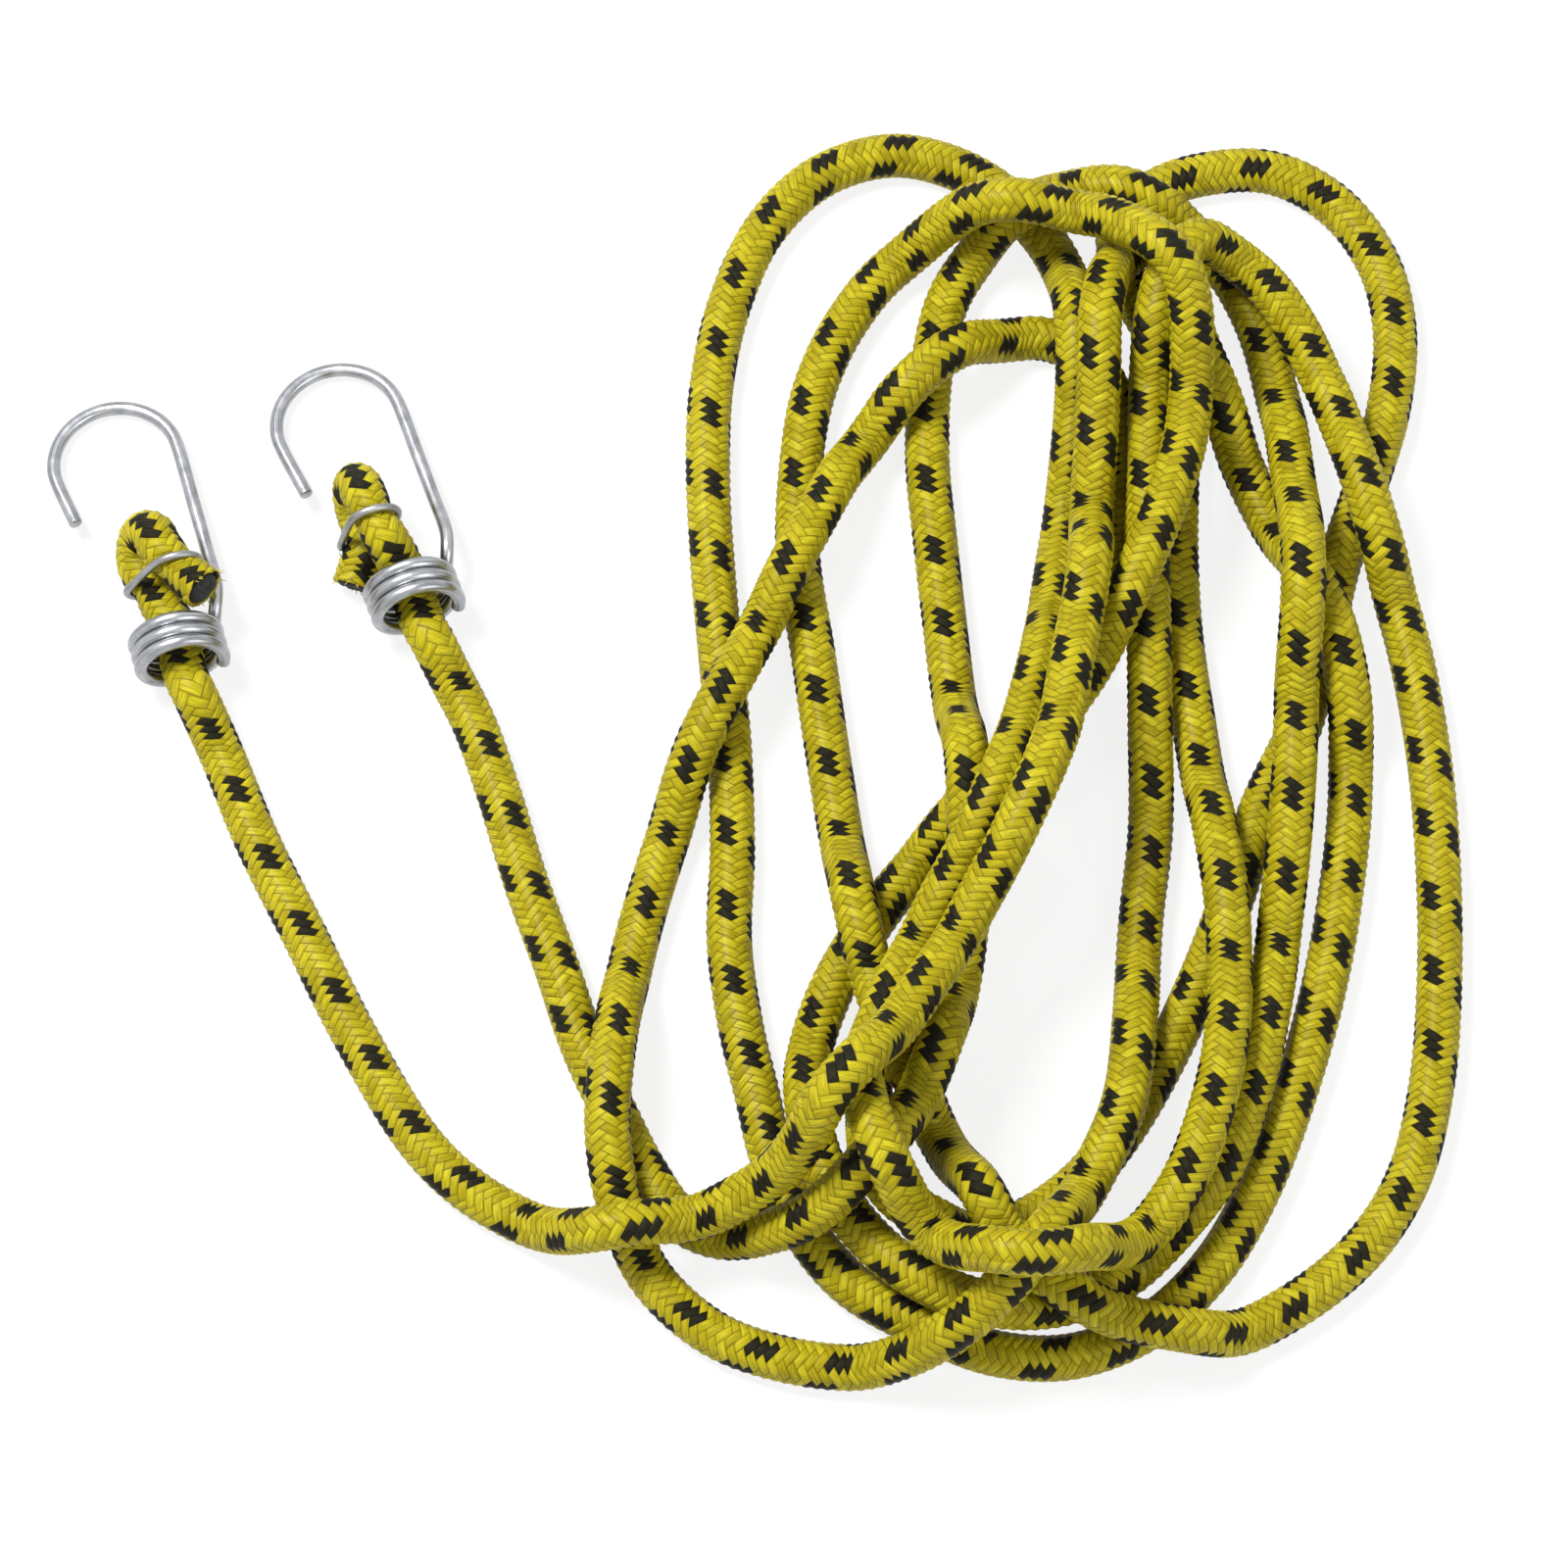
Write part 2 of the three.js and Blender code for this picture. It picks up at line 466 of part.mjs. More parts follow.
// Least gap of the cord to itself, on points along the drawn stretches
const dense = [];
for (let i = 1; i < allSpots.length; i++) {
  const from = allSpots[i - 1], to = allSpots[i], a = pointAt(from), b = pointAt(to);
  const n = Math.max(1, Math.round(a.distanceTo(b) / 1.5));
  for (let k = 0; k < n; k++) dense.push([a.clone().lerp(b, k / n), from + ((to - from) * k) / n]);
}
const oneBend = 6.5 * CORD_R; // points closer than this along the cord lie on one bend
let least = [99, null];
for (let i = 0; i < dense.length; i++) for (let j = i + 1; j < dense.length; j++)
  if (dense[j][1] - dense[i][1] > oneBend) {
    const d = dense[i][0].distanceTo(dense[j][0]) - 2 * CORD_R;
    if (d < least[0]) least = [d, dense[i][0]];
  }
const box = new THREE.Box3().setFromObject(group), size = box.getSize(v3()), mid = box.getCenter(v3());
const show = (p, digits) => p.toArray().map((x) => x.toFixed(digits)).join(" ");
console.log("least gap of the cord to itself, mm:", least[0].toFixed(2), "near", show(least[1], 0));
console.log("cord length, mm:", along.at(-1).toFixed(0), "size", show(size, 1), "middle", show(mid, 2));
[LEFT, RIGHT].forEach((h) => {
  const f = hookFrame(h), shifted = f.o.clone().sub(v3(CENTRE[0], CENTRE[1], 0));
  console.log("hook", show(shifted, 2), "axis", show(f.a, 5));
});

export default group;
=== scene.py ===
import math

import bpy
import numpy as np
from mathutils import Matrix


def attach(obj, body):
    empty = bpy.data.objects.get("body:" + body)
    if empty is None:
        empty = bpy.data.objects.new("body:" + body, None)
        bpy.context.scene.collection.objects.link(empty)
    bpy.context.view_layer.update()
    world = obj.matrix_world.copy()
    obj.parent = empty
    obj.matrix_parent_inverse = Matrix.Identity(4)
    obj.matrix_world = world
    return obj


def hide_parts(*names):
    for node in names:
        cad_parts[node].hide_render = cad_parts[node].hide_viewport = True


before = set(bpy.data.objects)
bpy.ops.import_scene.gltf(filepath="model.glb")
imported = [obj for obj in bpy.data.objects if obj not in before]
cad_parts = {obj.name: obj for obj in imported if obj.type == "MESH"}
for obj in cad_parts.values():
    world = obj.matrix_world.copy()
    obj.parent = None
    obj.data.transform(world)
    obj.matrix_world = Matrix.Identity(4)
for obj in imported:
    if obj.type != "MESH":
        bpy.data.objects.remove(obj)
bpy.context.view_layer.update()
scene = bpy.context.scene

# Studio
# A wide white sheet under soft lamps, and a long lens that looks down on the
# cord from the front.
MM = 0.001
AIM = (6.65 * MM, -6.64 * MM, 0.0)
CAMERA_AWAY = 1.2
CAMERA_HEIGHT = math.radians(70)
WIDTH_SEEN = 275.2 * MM
SENSOR = 36

camera_data = bpy.data.cameras.new("camera")
camera_data.sensor_width = SENSOR
camera_data.lens = SENSOR * CAMERA_AWAY / WIDTH_SEEN
camera = bpy.data.objects.new("camera", camera_data)
camera.location = (AIM[0],
                   AIM[1] - CAMERA_AWAY * math.cos(CAMERA_HEIGHT),
                   AIM[2] + CAMERA_AWAY * math.sin(CAMERA_HEIGHT))
camera.rotation_euler = (math.pi / 2 - CAMERA_HEIGHT, 0, 0)
scene.collection.objects.link(camera)
scene.camera = camera
scene.view_settings.view_transform = "Standard"


def lamp(name, place, size, watts):
    """A round soft lamp that points at the cord."""
    data = bpy.data.lights.new(name, "AREA")
    data.shape = "DISK"
    data.size = size
    data.energy = watts
    obj = bpy.data.objects.new(name, data)
    obj.location = place
    away = np.array(place) - np.array(AIM)
    level = math.hypot(away[0], away[1])
    obj.rotation_euler = (math.atan2(level, away[2]), 0,
                          math.atan2(away[1], away[0]) + math.pi / 2)
    scene.collection.objects.link(obj)


lamp("key_lamp", (-0.5, 0.3, 1.1), 0.4, 19)
lamp("fill_lamp", (0.8, -0.6, 0.9), 0.9, 5)

WORLD_LIGHT = 0.4
world = bpy.data.worlds.new("studio")
scene.world = world
world.use_nodes = True


def seen_ray(tree):
    """One where the eye, a reflection or a view through glass meets it."""
    path = tree.nodes.new("ShaderNodeLightPath")
    most = path.outputs["Is Camera Ray"]
    for ray in ("Is Glossy Ray", "Is Transmission Ray"):
        larger = tree.nodes.new("ShaderNodeMath")
        larger.operation = "MAXIMUM"
        tree.links.new(most, larger.inputs[0])
        tree.links.new(path.outputs[ray], larger.inputs[1])
        most = larger.outputs[0]
    return most


backdrop = world.node_tree.nodes["Background"]
backdrop.inputs["Color"].default_value = (1, 1, 1, 1)
strength = world.node_tree.nodes.new("ShaderNodeMapRange")
strength.inputs["To Min"].default_value = WORLD_LIGHT
strength.inputs["To Max"].default_value = 1.0
world.node_tree.links.new(seen_ray(world.node_tree), strength.inputs["Value"])
world.node_tree.links.new(strength.outputs["Result"],
                          backdrop.inputs["Strength"])

FLOOR_SIDE = 6.0
FLOOR_Z = -0.1 * MM
FLOOR_GLOW = 0.84
sheet_mesh = bpy.data.meshes.new("white_sheet")
half = FLOOR_SIDE / 2
sheet_mesh.from_pydata([(-half, -half, FLOOR_Z), (half, -half, FLOOR_Z),
                        (half, half, FLOOR_Z), (-half, half, FLOOR_Z)],
                       [], [(0, 1, 2, 3)])
white_sheet = bpy.data.objects.new("white_sheet", sheet_mesh)
scene.collection.objects.link(white_sheet)
sheet_look = bpy.data.materials.new("white_sheet")
sheet_look.use_nodes = True
tree = sheet_look.node_tree
paper = tree.nodes["Principled BSDF"]
paper.inputs["Base Color"].default_value = (0.93, 0.93, 0.93, 1)
paper.inputs["Roughness"].default_value = 0.9
paper.inputs["Specular IOR Level"].default_value = 0.1
bright = tree.nodes.new("ShaderNodeEmission")
bright.inputs["Color"].default_value = (1, 1, 1, 1)
share = tree.nodes.new("ShaderNodeMath")
share.operation = "MULTIPLY"
share.inputs[1].default_value = FLOOR_GLOW
tree.links.new(seen_ray(tree), share.inputs[0])
mixed = tree.nodes.new("ShaderNodeMixShader")
tree.links.new(share.outputs[0], mixed.inputs["Fac"])
tree.links.new(paper.outputs[0], mixed.inputs[1])
tree.links.new(bright.outputs[0], mixed.inputs[2])
tree.links.new(mixed.outputs[0],
               tree.nodes["Material Output"].inputs["Surface"])
sheet_mesh.materials.append(sheet_look)

# Lay of the cord
# The cord was dropped on a table in loose loops with both hooks to the left.
# Each strand lies on the table or on the strands below it. Sizes are in
# millimetres, and each end is told from its hook: ahead, right and height.
CORD_R = 4
FLAT = 0.8
REST_Z = CORD_R - FLAT
APART = 9.5
PLAN_STEP = 2.5
FOLD_STEPS = 8
SETTLE_ROUNDS = 5000
SPRING_BACK = 0.8
SINK = 0.02
LIFT_SHARE = 0.7
CENTRE = (-1.65, 2.24)
COIL_Z = 8.8
NOSE_DOWN = 0.146
CLIP_AT = 13.5
LEFT = {
    "at": (-101.2, 17.7), "yaw": 16.1, "bend": 40.3, "tip": 29.9,
    "cut_leg": [(7.6, 6.7, 14.8), (9.8, 5.4, 14.3), (11.6, 4.4, 13.9),
                (CLIP_AT, 3.4, 13.65), (15.8, 2.3, 13.5), (18, 1.4, 13.3)],
    "main_leg": [(18, -2.7, 5.85), (15.8, -2.3, 6.05), (CLIP_AT, -1.7, 6.35),
                 (11, -1, 6.35), (8.5, -0.4, 6.45), (6, 0, 6.7),
                 (3, 0, 6.9), (0, 0, 7.1), (-3, 0, 7.44), (-6, 0, 7.88)],
}
RIGHT = {
    "at": (-60.2, 27.7), "yaw": 19.4, "bend": 38.3, "tip": 26.2,
    "cut_leg": [(7.2, -8.8, 4), (9.6, -7, 4.7), (11.8, -5.3, 5.95),
                (CLIP_AT, -4.65, 6.4), (15.8, -4.2, 6.3), (18, -4.1, 6)],
    "main_leg": [(18, -2.6, 14.6), (15.8, -2.5, 14.85), (CLIP_AT, -2.4, 14.9),
                 (11.5, -2, 14.75), (9.5, -1.5, 14), (6.5, -0.5, 10.7),
                 (4, -0.3, 8.5), (2, -0.1, 7.7), (0, 0, 7.4), (-3, 0, 7.44),
                 (-6, 0, 7.88)],
}

# x, y and a rank: where two strands cross, the higher rank lies on top
LEFT_TAIL = [
    (-94.5, 2, 0), (-87, -16, 0), (-78.5, -33, 0), (-69, -52, 0),
    (-57.5, -71, 0), (-49, -79.5, 0),
]
LOOPS = [
    # in from the left along the bottom, up the middle and over the top
    (-39, -85.5, 0), (-28, -90, 3), (-16, -88.5, 4), (-4, -85.5, 5),
    (7, -80, 6), (14, -72, 6), (20.5, -64, 6), (29, -51, 5), (37, -37, 5),
    (45, -23, 5), (51.5, -7, 5), (55, 10, 5), (58, 26.5, 4), (59.5, 47, 4),
    (60.5, 64, 4), (61, 77, 5), (64, 88, 5), (70, 93.5, 3), (75, 88, 1),
    (78, 76.5, 0),
    # down the right and along the bottom to the left
    (82.5, 65, 0), (88, 51, 0), (95, 35.5, 0), (101, 21.5, 1), (104, 6.5, 1),
    (104, -8, 0), (102, -25, 0), (98.5, -43, 0), (93, -62, 0), (86, -80, 0),
    (78, -93.5, 0), (67.5, -103.5, 0), (54, -109, 0), (41, -108.5, 0),
    (28.5, -103.5, 0), (16, -96, 0), (7.5, -85, 0), (3, -74, 0),
    # up the left side and round the top
    (0.5, -63, 0), (-2.5, -50, 0), (-4.5, -35, 0), (-4, -18, 0), (-4.5, 0, 0),
    (-6, 17, 0), (-7.5, 34, 0), (-8.5, 52, 0), (-8, 70, 0), (-4.5, 87, 0),
    (2, 101.5, 0), (12, 111.5, 0), (25, 115.5, 0), (38, 112, 1), (48, 104, 2),
    (55, 93, 1.5), (57, 78, 2), (57, 66, 2), (55.5, 50, 2), (53, 33, 2),
    (49.5, 11.5, 3), (44.5, -6.5, 3), (38.5, -21, 3), (30.5, -35, 3),
    (22.5, -52, 3),
    # along the bottom on top of the others and up the right
    (18, -65, 4), (20.5, -79.5, 5), (26.5, -89.5, 5), (36, -97.5, 5),
    (48, -100, 5), (61, -95, 4), (71.5, -84, 1.5), (78, -68, 2), (81, -52, 2),
    (81.5, -34, 2), (79.5, -14, 1), (77, 5, 1), (75, 22, 1), (74.5, 37, 1),
    (75, 53, 1), (75.5, 67, 1), (71.5, 80.5, 1), (66.5, 91, 1),
    (65.5, 101.5, 1), (72, 108.5, 0), (82, 112, 0), (93.5, 112, 0),
    (104.5, 105.5, 0), (112, 94, 0), (114.5, 81, 0),
    # down the right below the others and back up the middle
    (113, 66, 0), (108.5, 51, 0), (103, 35, 0), (99.5, 20, 0), (95.5, 5, 0),
    (88.5, -10, 0), (83, -26.5, 0), (77.5, -41, 0), (71, -55, 0),
    (64, -67.5, 0), (56, -78, 0), (45.5, -85.5, 0), (35, -88.5, 0.5),
    (26, -86, 0.7), (20.5, -79, 1), (19.5, -69, 0.5), (20.5, -58, 0.3),
    (26, -45.5, 0), (33, -32.5, 0), (40.5, -19, 0), (48.5, -4, 0),
    (54.5, 10, 0), (60, 25, 0), (64, 40, 0), (65, 54, 0), (64, 67, 0),
    (58.5, 76, 0), (50, 79.5, 0), (39, 76, 1), (28, 67.5, 1), (18, 56, 0.6),
    (10, 40, 1),
    # down the far left and along the bottom
    (3.5, 27, 1), (-3.5, 12, 1), (-10.5, -2, 0), (-16.5, -19.5, 0),
    (-21.5, -38.5, 0), (-24.5, -59, 1), (-25, -73, 0), (-22.5, -85.5, 0),
    (-17, -96, 0), (-7, -105, 0), (5, -109.5, 0), (18, -111, 1),
    (31, -109, 2), (41, -103, 2), (49, -94, 3), (57, -80.5, 2), (63, -67, 1),
    (65.5, -49.5, 0), (67, -31, 0), (69, -13.5, 0), (69, 3, 0), (69, 19.5, 1),
    (69, 34.5, 2), (69.5, 49.5, 2), (70, 64.5, 2),
    # round the outside of the right
    (71, 78, 2.2), (74, 86.5, 2.5), (79.5, 91.5, 2), (87.5, 89, 2),
    (96, 78.5, 1), (102.5, 63.5, 1), (108.5, 43, 2), (114.5, 23, 1),
    (118, 0, 0), (119, -22, 0), (118.5, -42, 0), (116.5, -61, 0),
    (112, -77.5, 0), (104, -90, 0), (92, -100, 0), (79, -106, 2),
    (65, -105.5, 2), (53, -101.5, 2), (43.5, -92, 2), (36.5, -80, 1),
    (29, -64.5, 1), (22.5, -51, 1), (18, -35, 1),
    # up the inside of the left and over the top of the pile
    (15, -16, 1), (12.5, 1, 0), (10, 19.5, 0), (7.5, 37, 0), (8, 54.5, 0),
    (10.5, 69.5, 0), (16.5, 83, 0), (25.5, 94, 1), (37, 98.5, 3), (49, 98, 6),
    (60.5, 95.5, 6), (69.5, 88, 6), (75.5, 80, 5), (77, 68, 4), (75.5, 53, 4),
    (71, 38.5, 4), (65.5, 25.5, 3), (59.5, 14.5, 2), (50.5, 1.5, 1),
    (40, -8.5, 0.5), (30, -18.5, 0), (21, -30, 0), (13, -44, 0), (9, -58, 0),
    (9.5, -70, 0),
    # along the bottom once more, up the right and down the last short arc
    (13, -80.5, 0), (19, -89.5, 0), (27.5, -97, 0), (38, -101.5, 0.2),
    (50, -101.5, 0.2), (60.5, -97, 0.2), (70, -89, 0.2), (78.5, -79, 0),
    (84.5, -64.5, 0), (88.5, -48, 0), (91.5, -28, 1), (93.5, -8, 2),
    (94.5, 10.5, 2), (95.5, 28, 2), (95, 48, 2), (93, 68.5, 1), (89, 84, 1),
    (82, 96, 1), (72.5, 102, 2), (61, 105.5, 3), (50, 102, 3), (41.5, 97, 1),
    (35, 88, 0), (31.5, 74, 0), (30.5, 57, 0), (32, 38, 0), (34, 18, 0),
    (36.5, -6, 1.5), (37, -23, 1.5), (36, -38, 1.5), (32.5, -55, 2),
    (27.5, -68, 2.5), (19.5, -80.5, 3), (9, -88, 3), (-3, -88.5, 2),
    (-12.5, -85, 2), (-19, -76, 0), (-24, -66, -1),
]
RIGHT_TAIL = [
    (-29.5, -54, 0), (-34.5, -39, 0), (-40, -23.5, 0), (-45, -7, 0),
    (-50, 7, 0),
]


def smooth_curve(points, per):
    """A smooth line through all the points, with per steps between two."""
    points = np.array(points, float)
    p = np.vstack([2 * points[0] - points[1], points,
                   2 * points[-1] - points[-2]])
    knots = np.maximum(np.sqrt(np.linalg.norm(np.diff(p, axis=0), axis=1)),
                       1e-4)
    p0, p1, p2, p3 = p[:-3], p[1:-2], p[2:-1], p[3:]
    d0, d1, d2 = (knots[k:len(knots) - 2 + k, None] for k in range(3))
    m1 = ((p1 - p0) / d0 - (p2 - p0) / (d0 + d1) + (p2 - p1) / d1) * d1
    m2 = ((p2 - p1) / d1 - (p3 - p1) / (d1 + d2) + (p3 - p2) / d2) * d1
    t = (np.arange(per) / per)[None, :, None]
    a, b = p1[:, None], p2[:, None]
    m1, m2 = m1[:, None], m2[:, None]
    line = (a + m1 * t + (-3 * a + 3 * b - 2 * m1 - m2) * t ** 2
            + (2 * a - 2 * b + m1 + m2) * t ** 3)
    return np.vstack([line.reshape(-1, points.shape[1]), points[-1:]])


def lengths(line):
    """How far along the line each of its points lies."""
    steps = np.linalg.norm(np.diff(line, axis=0), axis=1)
    return np.concatenate([[0], np.cumsum(steps)])


def at_lengths(line, spots):
    """The places on the line at these lengths."""
    s = lengths(line)
    return np.stack([np.interp(spots, s, line[:, k])
                     for k in range(line.shape[1])], axis=1)


def even_steps(line, step):
    """The line cut into even steps in plan, and the step it came to."""
    s = lengths(line[:, :2])
    n = int(s[-1] // step)
    want = s[-1] * np.arange(n + 1) / n
    return np.stack([np.interp(want, s, line[:, k])
                     for k in range(line.shape[1])], axis=1), s[-1] / n


def settle(line, step, first, last):
    """Lets the strands sink onto the table and onto each other."""
    n = len(line)
    rank = line[:, 2]
    away = np.linalg.norm(line[:, None, :2] - line[None, :, :2], axis=2)
    i, j = np.nonzero(away < APART)
    # places closer along the cord than three strands are one strand
    keep = j - i > math.ceil(3 * APART / step)
    i, j = i[keep], j[keep]
    d = away[i, j]
    # two strands that meet keep one order along the whole meeting
    index = {pair: k for k, pair in enumerate(zip(i.tolist(), j.tolist()))}
    group = -np.ones(len(i), int)
    upper, lower = i.copy(), j.copy()
    for seed in range(len(i)):
        if group[seed] >= 0:
            continue
        group[seed] = seed
        queue, members = [seed], []
        while queue:
            m = queue.pop()
            members.append(m)
            for di in range(-2, 3):
                for dj in range(-2, 3):
                    o = index.get((i[m] + di, j[m] + dj))
                    if o is not None and group[o] < 0:
                        group[o] = seed
                        queue.append(o)
        members = np.array(members)
        lead = np.sum((rank[i[members]] - rank[j[members]])
                      * (APART - d[members]) ** 2)
        if lead < 0:
            upper[members], lower[members] = j[members], i[members]
    order = np.argsort(upper, kind="stable")
    upper, lower = upper[order], lower[order]
    need = np.sqrt(APART ** 2 - d[order] ** 2)
    tops, starts = np.unique(upper, return_index=True)
    z = np.full(n, float(REST_Z))
    bend = np.zeros(n)
    for _ in range(SETTLE_ROUNDS):
        bend[2:-2] = (-z[:-4] + 4 * z[1:-3] - 6 * z[2:-2]
                      + 4 * z[3:-1] - z[4:]) / 16
        z = np.maximum(z + SPRING_BACK * bend - SINK, REST_Z)
        lift = np.maximum.reduceat(need - (z[upper] - z[lower]), starts)
        z[tops] += LIFT_SHARE * np.maximum(lift, 0)
        z[:2], z[-1], z[-2] = first, last[0], last[1]
    return np.column_stack([line[:, :2], z])


def level_point(end, s, r, z):
    """A point ahead of the coil, to its right, and at a height."""
    yaw = math.radians(end["yaw"])
    return np.array([end["at"][0] - math.sin(yaw) * s + math.cos(yaw) * r,
                     end["at"][1] + math.cos(yaw) * s + math.sin(yaw) * r, z])


def fold_path(end):
    """A folded end from its cut face over the fold to behind the coil."""
    first, last = np.array(end["cut_leg"][-1]), np.array(end["main_leg"][0])
    half_fold = np.linalg.norm(first - last) / 2
    fold = []
    for k in range(1, FOLD_STEPS):
        w = math.pi * k / FOLD_STEPS
        p = last + (first - last) * (1 + math.cos(w)) / 2
        fold.append((p[0] + half_fold * math.sin(w), p[1], p[2]))
    return np.array([level_point(end, *p) for p in
                     [*end["cut_leg"], *fold, *end["main_leg"]]])


left_fold, right_fold = fold_path(LEFT), fold_path(RIGHT)
left_join, right_join = left_fold[-1], right_fold[-1]
plan = [[*left_join[:2], 0], *LEFT_TAIL, *LOOPS, *RIGHT_TAIL,
        [*right_join[:2], 0]]
laid, laid_step = even_steps(smooth_curve(plan, 24), PLAN_STEP)
slope = NOSE_DOWN * laid_step
settled = settle(laid, laid_step, [left_join[2], left_join[2] + slope],
                 [right_join[2], right_join[2] + slope])
to_origin = np.array([CENTRE[0], CENTRE[1], 0])
whole_cord = np.vstack([left_fold[:-1], settled, right_fold[-2::-1]])
whole_cord = whole_cord - to_origin
cord_line = smooth_curve(whole_cord, 4)
plan_lengths = lengths(whole_cord)
cord_length = lengths(cord_line)[-1]
stretch = cord_length / plan_lengths[-1]
fold_joins = [plan_lengths[k] * stretch for k in
              (len(left_fold) - 1, len(whole_cord) - len(right_fold))]

# Braided sleeve
# Sixteen flat yarns of shiny yellow plastic thread are braided over and under
# two at a time round the rubber. Three of the eight that run one way are
# black, so black flecks of three stitches come up in four rows.
YARNS = 16
STITCH = 1.72
HALF_STITCH = STITCH / 2
VALLEY_R = 3.84
CROWN_R = 4.07
LIFT_OFF = 0.04  # lowest point of the cord above the table
NIP = 0.14  # share by which a clip draws the sleeve in
NIP_REACH = 1.9
TWIST_LENGTH = 1100
# a cut end is rolled in: outwards and radius, and stitches on from the cut
ROLLED_EDGE = ((0.3, 4.0), (0.5, 3.65), (0.25, 3.3), (-1.2, 3.2))
ROLLED_ROWS = (0.4, 0.9, 1.4, 2.2)


def frames_along(line):
    """Directions ahead, to the side and up along a line, without twist."""
    ahead = np.gradient(line, axis=0)
    ahead /= np.linalg.norm(ahead, axis=1)[:, None]
    side = np.cross(ahead[0], [0, 0, 1])
    side /= np.linalg.norm(side)
    sides = [side]
    for k in range(1, len(line)):
        side = side - ahead[k] * np.dot(side, ahead[k])
        side = side / np.linalg.norm(side)
        sides.append(side)
    sides = np.array(sides)
    return ahead, sides, np.cross(sides, ahead)


ring_count = int(cord_length / HALF_STITCH)
ring_at = np.arange(ring_count + 1) * HALF_STITCH
ring_middle = at_lengths(cord_line, ring_at)
ring_ahead, ring_side, ring_up = frames_along(ring_middle)
# the sleeve is nipped in under each fold clip
ring_fit = np.ones(ring_count + 1)
for end, held in ((LEFT, ring_at < fold_joins[0]),
                  (RIGHT, ring_at > fold_joins[1])):
    yaw = math.radians(end["yaw"])
    from_coil = ring_middle[:, :2] + to_origin[:2] - np.array(end["at"])
    ahead = from_coil @ np.array([-math.sin(yaw), math.cos(yaw)])
    nip = NIP * np.exp(-((ahead - CLIP_AT) / NIP_REACH) ** 2)
    ring_fit[held] = 1 - nip[held]
# a loose cord twists slowly one way and wavers as it goes
ring_twist = (ring_at * 2 * math.pi / TWIST_LENGTH
              + 0.5 * np.sin(ring_at / 130)
              + 0.25 * np.sin(ring_at / 47 + 1))


def ring_points(first, last, radius):
    """Points round the cord, one to a yarn, on rings from first to last."""
    k = np.arange(first, last + 1)
    w = (2 * math.pi * np.arange(YARNS)[None, :] / YARNS
         + ring_twist[k][:, None])
    radius = radius * ring_fit[k][:, None]
    return (ring_middle[k][:, None]
            + radius[..., None] * (np.cos(w)[..., None] * ring_side[k][:, None]
                                   + np.sin(w)[..., None]
                                   * ring_up[k][:, None]))


def wall_squares(run, sides):
    """Corners of the squares of a tube's wall, and their places on the run."""
    i, q = np.meshgrid(np.arange(len(run) - 1), np.arange(sides),
                       indexing="ij")
    i, q = i.ravel(), q.ravel()
    nq = (q + 1) % sides
    corners = [k * sides + c for k in (i, i + 1) for c in (q, nq)]
    uv = [np.column_stack([c / sides, run[k]])
          for k in (i, i + 1) for c in (q, q + 1)]
    return i, q, corners, uv


def braided_tube(name, first, last, cut_first=False, cut_last=False):
    """Points stand on the corners and the middles of the yarns' crossings."""
    k = np.arange(first, last + 1)[:, None]
    a = np.arange(YARNS)[None, :]
    radius = np.where((a + k) % 2 == 0, VALLEY_R, CROWN_R)
    rings = [ring_points(first, last, radius)]
    rows = [np.arange(first, last + 1).astype(float)]
    flat_ring = np.ones((1, YARNS))
    ends = []
    if cut_first:
        ends.append((0, first, -1))
    if cut_last:
        ends.append((1, last, 1))
    for at_end, row, way in ends:
        rolled = []
        for out, r in ROLLED_EDGE:
            ring = ring_points(row, row, flat_ring * r)
            rolled.append(ring + ring_ahead[row] * out * way)
        rolled = np.concatenate(rolled)
        number = row + way * np.array(ROLLED_ROWS)
        if at_end:
            rings.append(rolled)
            rows.append(number)
        else:
            rings.insert(0, rolled[::-1])
            rows.insert(0, number[::-1])
    points = np.concatenate(rings)
    row = np.concatenate(rows)
    points[..., 2] = np.maximum(points[..., 2], LIFT_OFF)
    i, q, (c00, c01, c10, c11), uv = wall_squares(row, YARNS)
    # the fold of a crossing runs along the yarn on top, or between two yarns
    number = np.floor(row[i]).astype(int)
    even = (q + number) % 2 == 0
    ridge = np.where(even, q % 4 == 1, q % 4 == 3)
    rising = even ^ ridge
    one = np.where(rising[:, None], np.column_stack([c00, c10, c11]),
                   np.column_stack([c00, c10, c01]))
    two = np.where(rising[:, None], np.column_stack([c00, c11, c01]),
                   np.column_stack([c01, c10, c11]))
    pick = rising[:, None, None]
    uv_one = np.where(pick, np.stack([uv[0], uv[2], uv[3]], 1),
                      np.stack([uv[0], uv[2], uv[1]], 1))
    uv_two = np.where(pick, np.stack([uv[0], uv[3], uv[1]], 1),
                      np.stack([uv[1], uv[2], uv[3]], 1))
    return new_mesh(name, points.reshape(-1, 3) * MM,
                    np.concatenate([one, two]),
                    np.concatenate([uv_one, uv_two]))


